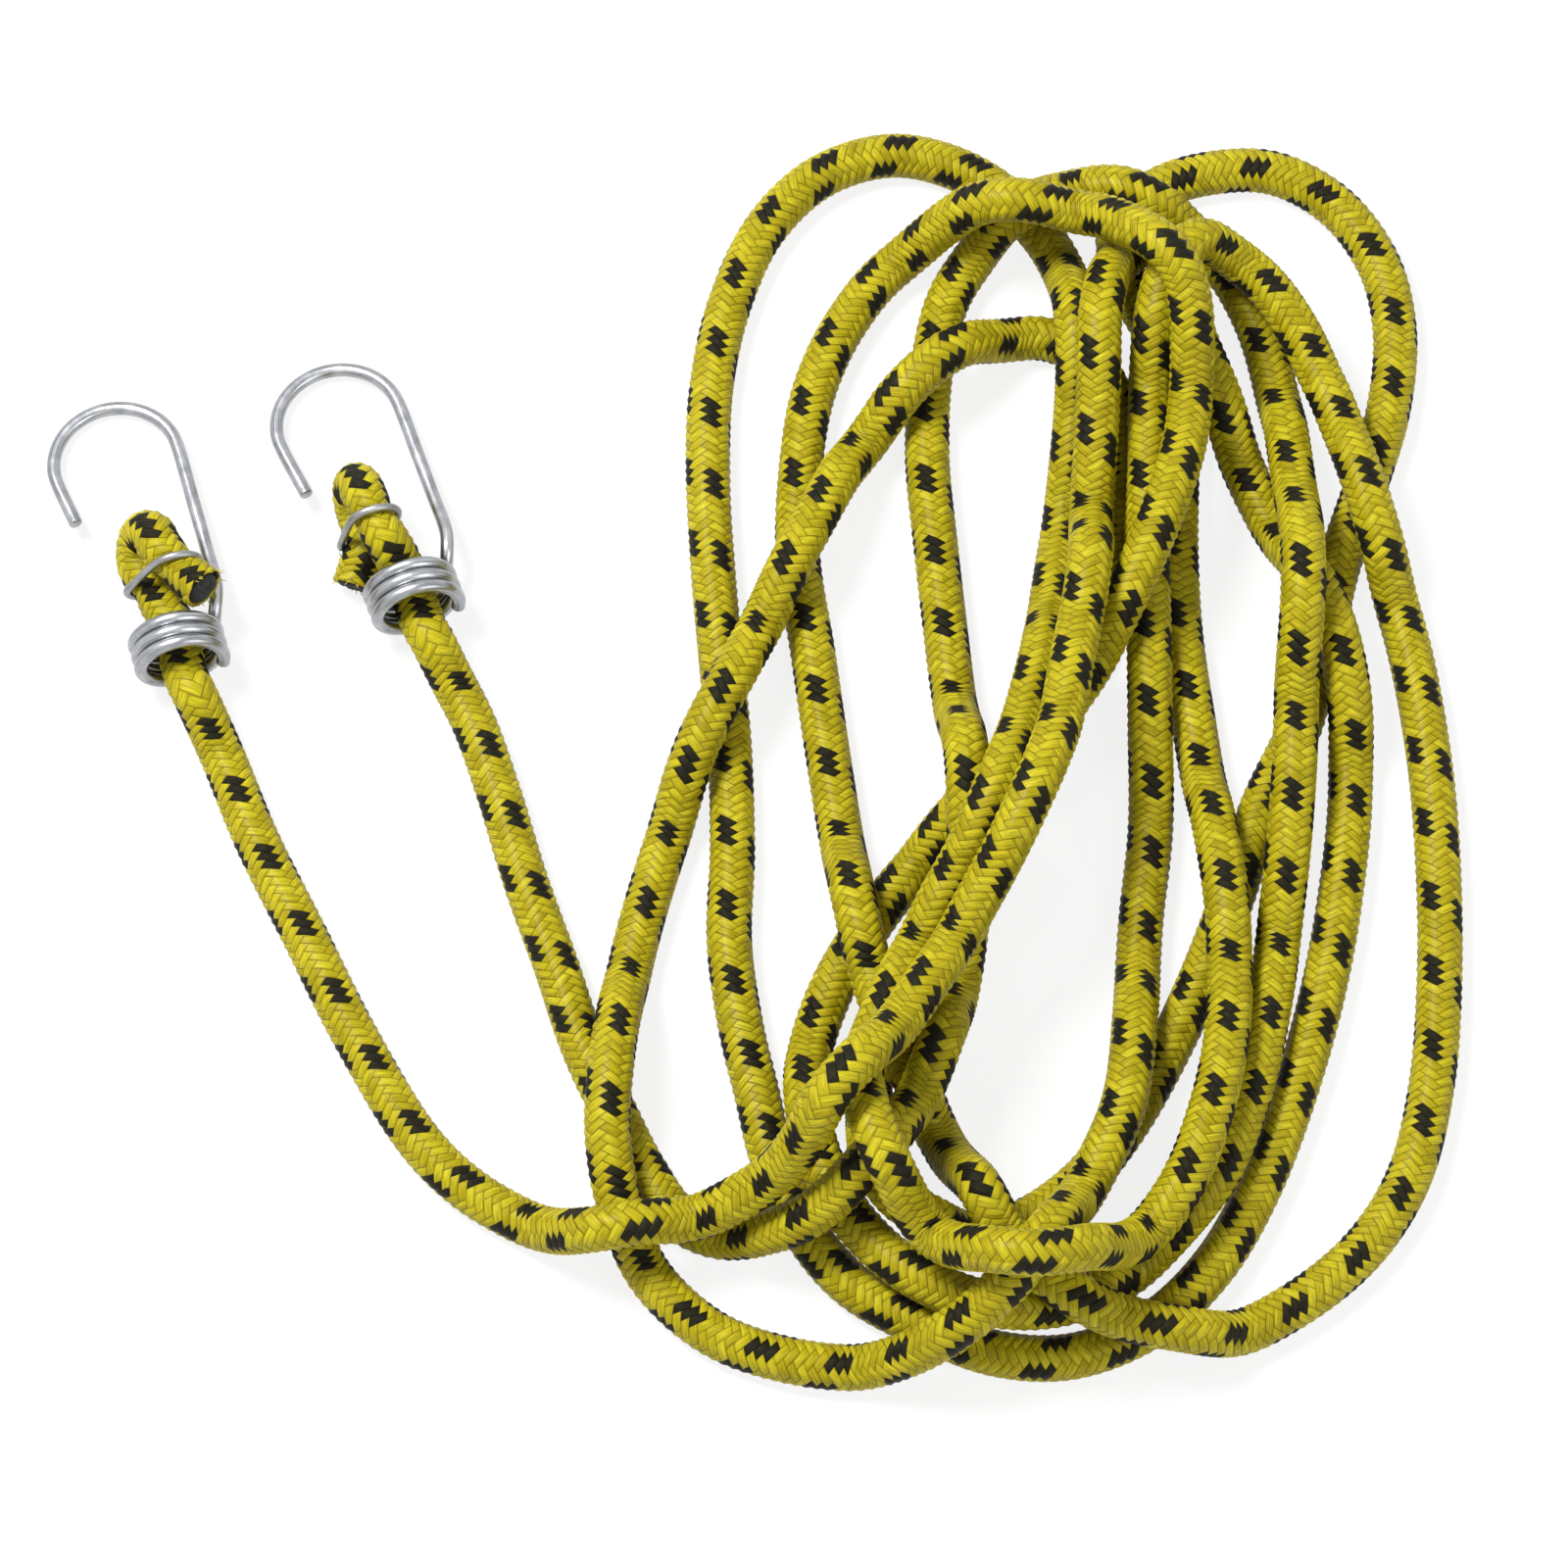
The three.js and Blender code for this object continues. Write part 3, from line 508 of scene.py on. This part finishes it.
def new_mesh(name, points, triangles, uv):
    """A smooth mesh of triangles that carries its place along the run."""
    mesh = bpy.data.meshes.new(name)
    mesh.vertices.add(len(points))
    mesh.vertices.foreach_set("co", np.ascontiguousarray(points).ravel())
    mesh.loops.add(triangles.size)
    mesh.loops.foreach_set("vertex_index",
                           np.ascontiguousarray(triangles, np.int32).ravel())
    mesh.polygons.add(len(triangles))
    mesh.polygons.foreach_set("loop_start",
                              np.arange(0, triangles.size, 3, dtype=np.int32))
    mesh.update(calc_edges=True)
    layer = mesh.uv_layers.new(name="run")
    layer.data.foreach_set("uv", np.ascontiguousarray(uv, np.float32).ravel())
    mesh.polygons.foreach_set("use_smooth", np.ones(len(triangles), bool))
    mesh.validate()
    obj = bpy.data.objects.new(name, mesh)
    scene.collection.objects.link(obj)
    return obj


class Sums:
    """Short names for the math nodes of one tree."""

    def __init__(self, tree):
        self.tree = tree

    def __call__(self, operation, *values):
        node = self.tree.nodes.new("ShaderNodeMath")
        node.operation = operation
        for socket, value in zip(node.inputs, values):
            if isinstance(value, (int, float)):
                socket.default_value = value
            else:
                self.tree.links.new(value, socket)
        return node.outputs[0]

    def blend(self, share, low, high):
        rest = self("SUBTRACT", 1, share)
        return self("ADD", self("MULTIPLY", low, rest),
                    self("MULTIPLY", high, share))


def braid_group():
    """Pattern of the braid: flecks, raised middles, fine threads and tones."""
    group = bpy.data.node_groups.new("braided yarns", "ShaderNodeTree")
    group.interface.new_socket("Run", in_out="INPUT",
                               socket_type="NodeSocketVector")
    for name in ("Fleck", "Crown", "Thread", "Tone"):
        group.interface.new_socket(name, in_out="OUTPUT",
                                   socket_type="NodeSocketFloat")
    came = group.nodes.new("NodeGroupInput")
    goes = group.nodes.new("NodeGroupOutput")
    do = Sums(group)
    split = group.nodes.new("ShaderNodeSeparateXYZ")
    group.links.new(came.outputs["Run"], split.inputs[0])
    around = do("MULTIPLY", split.outputs["X"], YARNS)
    run = split.outputs["Y"]
    i = do("MULTIPLY", do("ADD", around, run), 0.5)
    j = do("MULTIPLY", do("SUBTRACT", around, run), 0.5)
    ci, cj = do("FLOOR", i), do("FLOOR", j)
    fi, fj = do("SUBTRACT", i, ci), do("SUBTRACT", j, cj)
    place = do("FLOORED_MODULO", do("ADD", ci, cj), 4)
    weft = do("GREATER_THAN", place, 1.5)
    second = do("FLOORED_MODULO", place, 2)
    along = do("MULTIPLY", do("ADD", do.blend(weft, fj, fi), second), 0.5)
    across = do.blend(weft, fi, fj)
    yarn = do.blend(weft, do("ADD", ci, 40), do("SUBTRACT", cj, 40))
    # flecks
    black = do("LESS_THAN", do("FLOORED_MODULO", cj, 8), 2.5)
    fleck = do("MULTIPLY", black, weft)
    group.links.new(fleck, goes.inputs["Fleck"])
    # rounded yarn that dips where it goes under the next; the material also
    # darkens the yellow in these dips and along the yarn edges as painted shade
    hump = do("POWER", do("SINE", do("MULTIPLY", across, math.pi)), 0.55)
    dip = do("POWER", do("SINE", do("MULTIPLY", along, math.pi)), 0.35)
    group.links.new(do("MULTIPLY", hump, dip), goes.inputs["Crown"])
    # fine threads laid side by side in each yarn, which the material also uses
    # for a painted highlight: streaks of lighter yellow along them
    spot = group.nodes.new("ShaderNodeCombineXYZ")
    group.links.new(do("MULTIPLY", across, 9), spot.inputs["X"])
    group.links.new(do("MULTIPLY", along, 1.2), spot.inputs["Y"])
    group.links.new(do("MULTIPLY", yarn, 7.31), spot.inputs["Z"])
    threads = group.nodes.new("ShaderNodeTexNoise")
    threads.inputs["Scale"].default_value = 1.0
    threads.inputs["Detail"].default_value = 2.0
    group.links.new(spot.outputs[0], threads.inputs["Vector"])
    group.links.new(threads.outputs["Fac"], goes.inputs["Thread"])
    # no two stitches have quite the same tone
    mark = group.nodes.new("ShaderNodeCombineXYZ")
    group.links.new(yarn, mark.inputs["X"])
    group.links.new(do("FLOOR", do("MULTIPLY", do("ADD", ci, cj), 0.25)),
                    mark.inputs["Y"])
    chance = group.nodes.new("ShaderNodeTexWhiteNoise")
    chance.noise_dimensions = "2D"
    group.links.new(mark.outputs[0], chance.inputs["Vector"])
    group.links.new(chance.outputs["Value"], goes.inputs["Tone"])
    return group


BRAID = braid_group()


def ramp_of(tree, value, *stops):
    """Colours that follow a value."""
    node = tree.nodes.new("ShaderNodeValToRGB")
    points = node.color_ramp.elements
    while len(points) < len(stops):
        points.new(0.5)
    for point, (at, colour) in zip(points, stops):
        point.position = at
        point.color = (*colour, 1)
    tree.links.new(value, node.inputs["Fac"])
    return node.outputs["Color"]


def mix_colour(tree, share, one, two, how="MIX"):
    """Two colours mixed, or laid over each other."""
    node = tree.nodes.new("ShaderNodeMix")
    node.data_type = "RGBA"
    node.blend_type = how
    sockets = [s for s in node.inputs if s.name == "Factor"][:1]
    sockets += [s for s in node.inputs
                if s.name in ("A", "B") and s.type == "RGBA"]
    for socket, value in zip(sockets, (share, one, two)):
        if isinstance(value, (int, float)):
            socket.default_value = value
        elif isinstance(value, tuple):
            socket.default_value = (*value, 1)
        else:
            tree.links.new(value, socket)
    return [s for s in node.outputs if s.type == "RGBA"][0]


sleeve_look = bpy.data.materials.new("yellow_braid")
sleeve_look.use_nodes = True
tree = sleeve_look.node_tree
yarn = tree.nodes["Principled BSDF"]
run_map = tree.nodes.new("ShaderNodeUVMap")
run_map.uv_map = "run"
braid = tree.nodes.new("ShaderNodeGroup")
braid.node_tree = BRAID
tree.links.new(run_map.outputs[0], braid.inputs["Run"])
do = Sums(tree)
yellow = ramp_of(tree, braid.outputs["Tone"],
                 (0.0, (0.40, 0.33, 0.006)), (0.5, (0.49, 0.412, 0.010)),
                 (1.0, (0.58, 0.50, 0.018)))
# painted highlight: the yellow is lightened and darkened in streaks along the
# fine threads
painted_thread_highlight = ramp_of(tree, braid.outputs["Thread"],
              (0.30, (0.58, 0.56, 0.44)), (0.68, (1.08, 1.08, 1.08)))
yellow = mix_colour(tree, 1.0, yellow, painted_thread_highlight, "MULTIPLY")
# painted shade: the yellow darkens to olive where each yarn dips under the next
# and along its edges
painted_gap_shade = ramp_of(tree, braid.outputs["Crown"],
              (0.0, (0.44, 0.43, 0.22)), (0.5, (1.0, 1.0, 1.0)))
yellow = mix_colour(tree, 1.0, yellow, painted_gap_shade, "MULTIPLY")
black = ramp_of(tree, braid.outputs["Thread"],
                (0.30, (0.003, 0.003, 0.003)), (0.75, (0.010, 0.010, 0.009)))
tree.links.new(mix_colour(tree, braid.outputs["Fleck"], yellow, black),
               yarn.inputs["Base Color"])
shine = do("ADD", 0.40, do("MULTIPLY", braid.outputs["Thread"], 0.3))
tree.links.new(shine, yarn.inputs["Roughness"])
yarn.inputs["Specular IOR Level"].default_value = 0.2
yarn.inputs["Specular Tint"].default_value = (0.95, 0.86, 0.4, 1)
satin = do("MULTIPLY", do("SUBTRACT", 1, braid.outputs["Fleck"]), 0.09)
tree.links.new(satin, yarn.inputs["Coat Weight"])
yarn.inputs["Coat Roughness"].default_value = 0.34
height = do("ADD", braid.outputs["Crown"],
            do("MULTIPLY", braid.outputs["Thread"], 0.7))
bump = tree.nodes.new("ShaderNodeBump")
bump.inputs["Strength"].default_value = 1.0
bump.inputs["Distance"].default_value = 0.00036
tree.links.new(height, bump.inputs["Height"])
tree.links.new(bump.outputs[0], yarn.inputs["Normal"])

left_row, right_row = (int(s / HALF_STITCH) for s in fold_joins)
sleeve = braided_tube("braided_cord", left_row, right_row)
left_end = braided_tube("left_fold_sleeve", 0, left_row, cut_first=True)
right_end = braided_tube("right_fold_sleeve", right_row, ring_count,
                         cut_last=True)
for piece, nodes in ((sleeve, ("left_tail", "cord_loops", "right_tail")),
                     (left_end, ("left_folded_end",)),
                     (right_end, ("right_folded_end",))):
    piece.data.materials.append(sleeve_look)
    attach(piece, "cord")
    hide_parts(*nodes)

THREAD_R = 0.17
THREAD_SIDES = 5
THREADS = 46
THREAD_RING_R = 3.62
THREAD_ROOT = 0.3
THREAD_STEPS = 3
chance = np.random.default_rng(5)


def loose_threads(name, row, way):
    """Short ends of thread that stand out round a cut end."""
    points, triangles, uv = [], [], []
    w = 2 * math.pi * np.arange(THREAD_SIDES) / THREAD_SIDES
    out = ring_ahead[row] * way
    for k in range(THREADS):
        turn = 2 * math.pi * (k + chance.random()) / THREADS
        away = (math.cos(turn) * ring_side[row]
                + math.sin(turn) * ring_up[row])
        round_it = np.cross(out, away)
        reach = 0.5 + 1.1 * chance.random() ** 2
        splay, lean = 0.1 + 0.7 * chance.random(), chance.normal(0, 0.35)
        base = len(points)
        for step in range(THREAD_STEPS + 1):
            f = step / THREAD_STEPS
            middle = (ring_middle[row]
                      + away * (THREAD_RING_R + splay * reach * f * f)
                      + out * (reach * f - THREAD_ROOT)
                      + round_it * lean * reach * f)
            thin = THREAD_R * (1 - 0.6 * f)
            for x, y in zip(np.cos(w), np.sin(w)):
                points.append(middle + away * thin * x + round_it * thin * y)
        for step in range(THREAD_STEPS):
            for q in range(THREAD_SIDES):
                nq = (q + 1) % THREAD_SIDES
                a = base + step * THREAD_SIDES
                b = a + THREAD_SIDES
                triangles += [(a + q, b + q, b + nq), (a + q, b + nq, a + nq)]
                uv += [[(k, step), (k, step + 1), (k, step + 1)],
                       [(k, step), (k, step + 1), (k, step)]]
    points = np.array(points)
    points[:, 2] = np.maximum(points[:, 2], LIFT_OFF)
    return new_mesh(name, points * MM, np.array(triangles), np.array(uv, float))


thread_look = bpy.data.materials.new("loose_yellow_thread")
thread_look.use_nodes = True
tree = thread_look.node_tree
place = tree.nodes.new("ShaderNodeTexCoord")
patchy = tree.nodes.new("ShaderNodeTexNoise")
patchy.inputs["Scale"].default_value = 900
tree.links.new(place.outputs["Object"], patchy.inputs["Vector"])
thread = tree.nodes["Principled BSDF"]
tree.links.new(ramp_of(tree, patchy.outputs["Fac"],
                       (0.3, (0.40, 0.32, 0.006)), (0.7, (0.66, 0.55, 0.03))),
               thread.inputs["Base Color"])
thread.inputs["Roughness"].default_value = 0.45
for name, row, way in (("left_loose_threads", 0, -1),
                       ("right_loose_threads", ring_count, 1)):
    threads = loose_threads(name, row, way)
    threads.data.materials.append(thread_look)
    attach(threads, "cord")

# Rubber core
# A bundle of square-cut strands of black latex rubber fills the sleeve. It
# shows only at the two cut ends, where the strands stand a little unevenly.
CORE_R = 2.62
CORE_SIDES = 12
CORE_RUN = 0.25
STRANDS_ROUND = 5
STRAND_UNEVEN = 0.16
# the cut face: radius and how far it stands out, from the rim to the middle
CORE_FACE = ((3.1, -0.5), (3.1, 0.2), (2.9, 0.6), (1.9, 0.85), (0.9, 0.7),
             (0.02, 0.85))
core_rows = np.unique(np.concatenate([np.arange(0, ring_count, 3),
                                      [ring_count]]))


def tube_mesh(name, points, run):
    """A plain tube from rings of points."""
    points[..., 2] = np.maximum(points[..., 2], LIFT_OFF)
    _, _, (c00, c01, c10, c11), uv = wall_squares(run, points.shape[1])
    triangles = np.concatenate([np.column_stack([c00, c10, c11]),
                                np.column_stack([c00, c11, c01])])
    uv = np.concatenate([np.stack([uv[0], uv[2], uv[3]], 1),
                         np.stack([uv[0], uv[3], uv[1]], 1)])
    return new_mesh(name, points.reshape(-1, 3) * MM, triangles, uv)


def rubber_core():
    """The bundle from cut end to cut end, with an uneven face at each."""
    w = 2 * math.pi * np.arange(CORE_SIDES) / CORE_SIDES
    wall = (np.cos(w)[None, :, None] * ring_side[core_rows][:, None]
            + np.sin(w)[None, :, None] * ring_up[core_rows][:, None])
    rings = []
    for way, at in ((-1, 0), (1, len(core_rows) - 1)):
        out = ring_ahead[core_rows[at]] * way
        middle = ring_middle[core_rows[at]]
        faces = []
        for r, proud in CORE_FACE:
            bumps = np.cos(w * STRANDS_ROUND + r * 3)[:, None] * (r > 0.1)
            faces.append(middle + out * (proud + STRAND_UNEVEN * bumps)
                         + wall[at] * r)
        if way < 0:
            rings += faces[::-1]
        else:
            rings += [middle_k + ring_k * CORE_R for middle_k, ring_k in
                      zip(ring_middle[core_rows], wall)] + faces
    points = np.array(rings)
    return tube_mesh("rubber_strands", points,
                     np.arange(len(points)) * CORE_RUN)


core = rubber_core()
core_look = bpy.data.materials.new("black_rubber")
core_look.use_nodes = True
tree = core_look.node_tree
rubber = tree.nodes["Principled BSDF"]
place = tree.nodes.new("ShaderNodeTexCoord")
grit = tree.nodes.new("ShaderNodeTexNoise")
grit.inputs["Scale"].default_value = 1500
grit.inputs["Detail"].default_value = 3
tree.links.new(place.outputs["Object"], grit.inputs["Vector"])
tree.links.new(ramp_of(tree, grit.outputs["Fac"],
                       (0.3, (0.008, 0.008, 0.009)),
                       (0.7, (0.035, 0.034, 0.034))),
               rubber.inputs["Base Color"])
rubber.inputs["Roughness"].default_value = 0.85
bump = tree.nodes.new("ShaderNodeBump")
bump.inputs["Strength"].default_value = 0.6
bump.inputs["Distance"].default_value = 0.0002
tree.links.new(grit.outputs["Fac"], bump.inputs["Height"])
tree.links.new(bump.outputs[0], rubber.inputs["Normal"])
core.data.materials.append(core_look)
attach(core, "cord")
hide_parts("rubber_core")

# Wire hooks
# One length of bright zinc-plated steel wire is wound three times round the
# cord, runs on as a shank and ends in a round bend with a plain cut tip.
WIRE_R = 1.2
COIL_R = 7.3
COIL_PITCH = 2.43
COIL_TURNS = 3
SHANK_OFF = 9.5
BEND_R = 11.2
TIP_IN = 1.4
WIRE_SIDES = 20
WIRE_STEP = 0.45
COIL_STEPS = 18
COIL_END = -0.35
SHANK_FROM = 27
BEND_STEPS = 14
# from the coil to the shank: ahead of the coil's front, right and up
COIL_EXIT = ((1.2, 7.7, -0.2), (3, 8.5, 1), (5.5, 9.2, 1),
             (9, SHANK_OFF, 0.4), (13, SHANK_OFF, 0))
# a cut end of wire in radii: back from the cut, and out
WIRE_EDGE = ((0.0, 0.02), (0.0, 0.55), (0.06, 0.86), (0.22, 1.0))
WIRE_EDGE_RUN = np.array((0, 0.3, 0.6, 0.9))


def hook_frame(end):
    """Gives the place of a point ahead of the coil, right and up."""
    yaw = math.radians(end["yaw"])
    flat = math.sqrt(1 - NOSE_DOWN ** 2)
    ahead = np.array([-math.sin(yaw) * flat, math.cos(yaw) * flat, -NOSE_DOWN])
    right = np.array([math.cos(yaw), math.sin(yaw), 0.0])
    up = np.cross(right, ahead)
    middle = np.array([end["at"][0], end["at"][1], COIL_Z])

    def place(s, r, t):
        return middle + ahead * s + right * r + up * t
    return place


def hook_path(end):
    """The middle of the wire from the coil's free end to the tip."""
    place = hook_frame(end)
    half_coil = COIL_PITCH * COIL_TURNS / 2
    steps = COIL_STEPS * COIL_TURNS
    path = []
    for k in range(steps + 1):
        w = COIL_END - 2 * math.pi * (steps - k) / COIL_STEPS
        path.append(place(-half_coil + 2 * half_coil * k / steps,
                          COIL_R * math.cos(w), COIL_R * math.sin(w)))
    for s, r, t in COIL_EXIT:
        path.append(place(half_coil + s, r, t))
    path.append(place(SHANK_FROM, SHANK_OFF, 0))
    for k in range(BEND_STEPS + 1):
        w = math.pi * k / BEND_STEPS
        path.append(place(end["bend"] + BEND_R * math.sin(w),
                          SHANK_OFF - BEND_R + BEND_R * math.cos(w), 0))
    path.append(place(end["tip"], SHANK_OFF - 2 * BEND_R + TIP_IN, 0))
    return np.array(path) - to_origin


def wire_piece(name, path, radius, sides, step):
    """Round wire along a path, with its cut ends slightly rounded off."""
    line = smooth_curve(path, 8)
    total = lengths(line)[-1]
    spots = np.linspace(0, total, max(8, int(total / step)))
    middle = at_lengths(line, spots)
    ahead, side, up = frames_along(middle)
    w = 2 * math.pi * np.arange(sides) / sides
    wall = (np.cos(w)[None, :, None] * side[:, None]
            + np.sin(w)[None, :, None] * up[:, None])
    rings = middle[:, None] + wall * radius
    first = [middle[0] + ahead[0] * radius * s + wall[0] * radius * r
             for s, r in WIRE_EDGE]
    last = [middle[-1] - ahead[-1] * radius * s + wall[-1] * radius * r
            for s, r in WIRE_EDGE]
    points = np.concatenate([np.array(first), rings[1:-1],
                             np.array(last[::-1])])
    run = np.concatenate([WIRE_EDGE_RUN, spots[1:-1],
                          total - WIRE_EDGE_RUN[::-1]])
    return tube_mesh(name, points, run)


def drawn_wire_group():
    """Streaks along drawn wire and patches of bloom on its zinc."""
    group = bpy.data.node_groups.new("drawn wire", "ShaderNodeTree")
    group.interface.new_socket("Run", in_out="INPUT",
                               socket_type="NodeSocketVector")
    for name in ("Streak", "Bloom"):
        group.interface.new_socket(name, in_out="OUTPUT",
                                   socket_type="NodeSocketFloat")
    came = group.nodes.new("NodeGroupInput")
    goes = group.nodes.new("NodeGroupOutput")
    long_way = group.nodes.new("ShaderNodeMapping")
    long_way.inputs["Scale"].default_value = (34, 0.12, 1)
    group.links.new(came.outputs["Run"], long_way.inputs["Vector"])
    streak = group.nodes.new("ShaderNodeTexNoise")
    streak.inputs["Scale"].default_value = 1
    streak.inputs["Detail"].default_value = 3
    group.links.new(long_way.outputs[0], streak.inputs["Vector"])
    group.links.new(streak.outputs["Fac"], goes.inputs["Streak"])
    patch = group.nodes.new("ShaderNodeMapping")
    patch.inputs["Scale"].default_value = (2.5, 0.3, 1)
    group.links.new(came.outputs["Run"], patch.inputs["Vector"])
    bloom = group.nodes.new("ShaderNodeTexNoise")
    bloom.inputs["Scale"].default_value = 1
    bloom.inputs["Detail"].default_value = 4
    group.links.new(patch.outputs[0], bloom.inputs["Vector"])
    group.links.new(bloom.outputs["Fac"], goes.inputs["Bloom"])
    return group


DRAWN_WIRE = drawn_wire_group()


def zinc_wire(name, dark, light, dull):
    """Zinc plating between two tones, with its least roughness."""
    look = bpy.data.materials.new(name)
    look.use_nodes = True
    tree = look.node_tree
    steel = tree.nodes["Principled BSDF"]
    run_map = tree.nodes.new("ShaderNodeUVMap")
    run_map.uv_map = "run"
    drawn = tree.nodes.new("ShaderNodeGroup")
    drawn.node_tree = DRAWN_WIRE
    tree.links.new(run_map.outputs[0], drawn.inputs["Run"])
    do = Sums(tree)
    tone = do("ADD", do("MULTIPLY", drawn.outputs["Streak"], 0.6),
              do("MULTIPLY", drawn.outputs["Bloom"], 0.4))
    tree.links.new(ramp_of(tree, tone, (0.35, dark), (0.65, light)),
                   steel.inputs["Base Color"])
    steel.inputs["Metallic"].default_value = 1
    tree.links.new(do("ADD", dull,
                      do("MULTIPLY", drawn.outputs["Bloom"], 0.22)),
                   steel.inputs["Roughness"])
    bump = tree.nodes.new("ShaderNodeBump")
    bump.inputs["Strength"].default_value = 0.25
    bump.inputs["Distance"].default_value = 0.00006
    tree.links.new(drawn.outputs["Streak"], bump.inputs["Height"])
    tree.links.new(bump.outputs[0], steel.inputs["Normal"])
    return look


hook_look = zinc_wire("bright_zinc_wire", (0.20, 0.21, 0.23),
                      (0.56, 0.57, 0.59), 0.2)
for side_name, end in (("left", LEFT), ("right", RIGHT)):
    hook = wire_piece(side_name + "_wire_hook", hook_path(end), WIRE_R,
                      WIRE_SIDES, WIRE_STEP)
    hook.data.materials.append(hook_look)
    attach(hook, side_name + "_hook")
    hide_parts(side_name + "_hook")

# Fold clips
# A short piece of thinner zinc wire is closed round both legs of each folded
# end, and its two ends pass each other side by side.
CLIP_WIRE_R = 0.7
CLIP_GAP = 0.12
CLIP_LAP = 1.5
CLIP_STEPS = 28
CLIP_LAP_STEPS = 4
CLIP_SIDES = 14
CLIP_STEP = 0.4


def clip_path(end, first_angle):
    """A little over one turn round both legs, from the first angle on."""
    main, cut = (np.array([p[1:] for p in end[leg] if p[0] == CLIP_AT][0])
                 for leg in ("main_leg", "cut_leg"))
    step = np.linalg.norm(cut - main)
    c, s = (cut - main) / step
    r = CROWN_R * (1 - NIP) + CLIP_GAP + CLIP_WIRE_R
    path = []
    steps = CLIP_STEPS + CLIP_LAP_STEPS
    for k in range(steps + 1):
        w = first_angle + 2 * math.pi * k / CLIP_STEPS
        p = r * math.cos(w) + (step if math.cos(w) > 0 else 0)
        q = r * math.sin(w)
        path.append(level_point(end, CLIP_AT + CLIP_LAP * (k / steps - 0.5),
                                main[0] + c * p - s * q,
                                main[1] + s * p + c * q))
    return np.array(path) - to_origin


clip_look = zinc_wire("dull_zinc_clip", (0.2, 0.2, 0.21),
                      (0.46, 0.46, 0.46), 0.3)
for side_name, end, first_angle in (("left", LEFT, -2.6),
                                    ("right", RIGHT, -1.3)):
    clip = wire_piece(side_name + "_fold_clip", clip_path(end, first_angle),
                      CLIP_WIRE_R, CLIP_SIDES, CLIP_STEP)
    clip.data.materials.append(clip_look)
    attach(clip, "cord")
    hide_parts(side_name + "_clip")
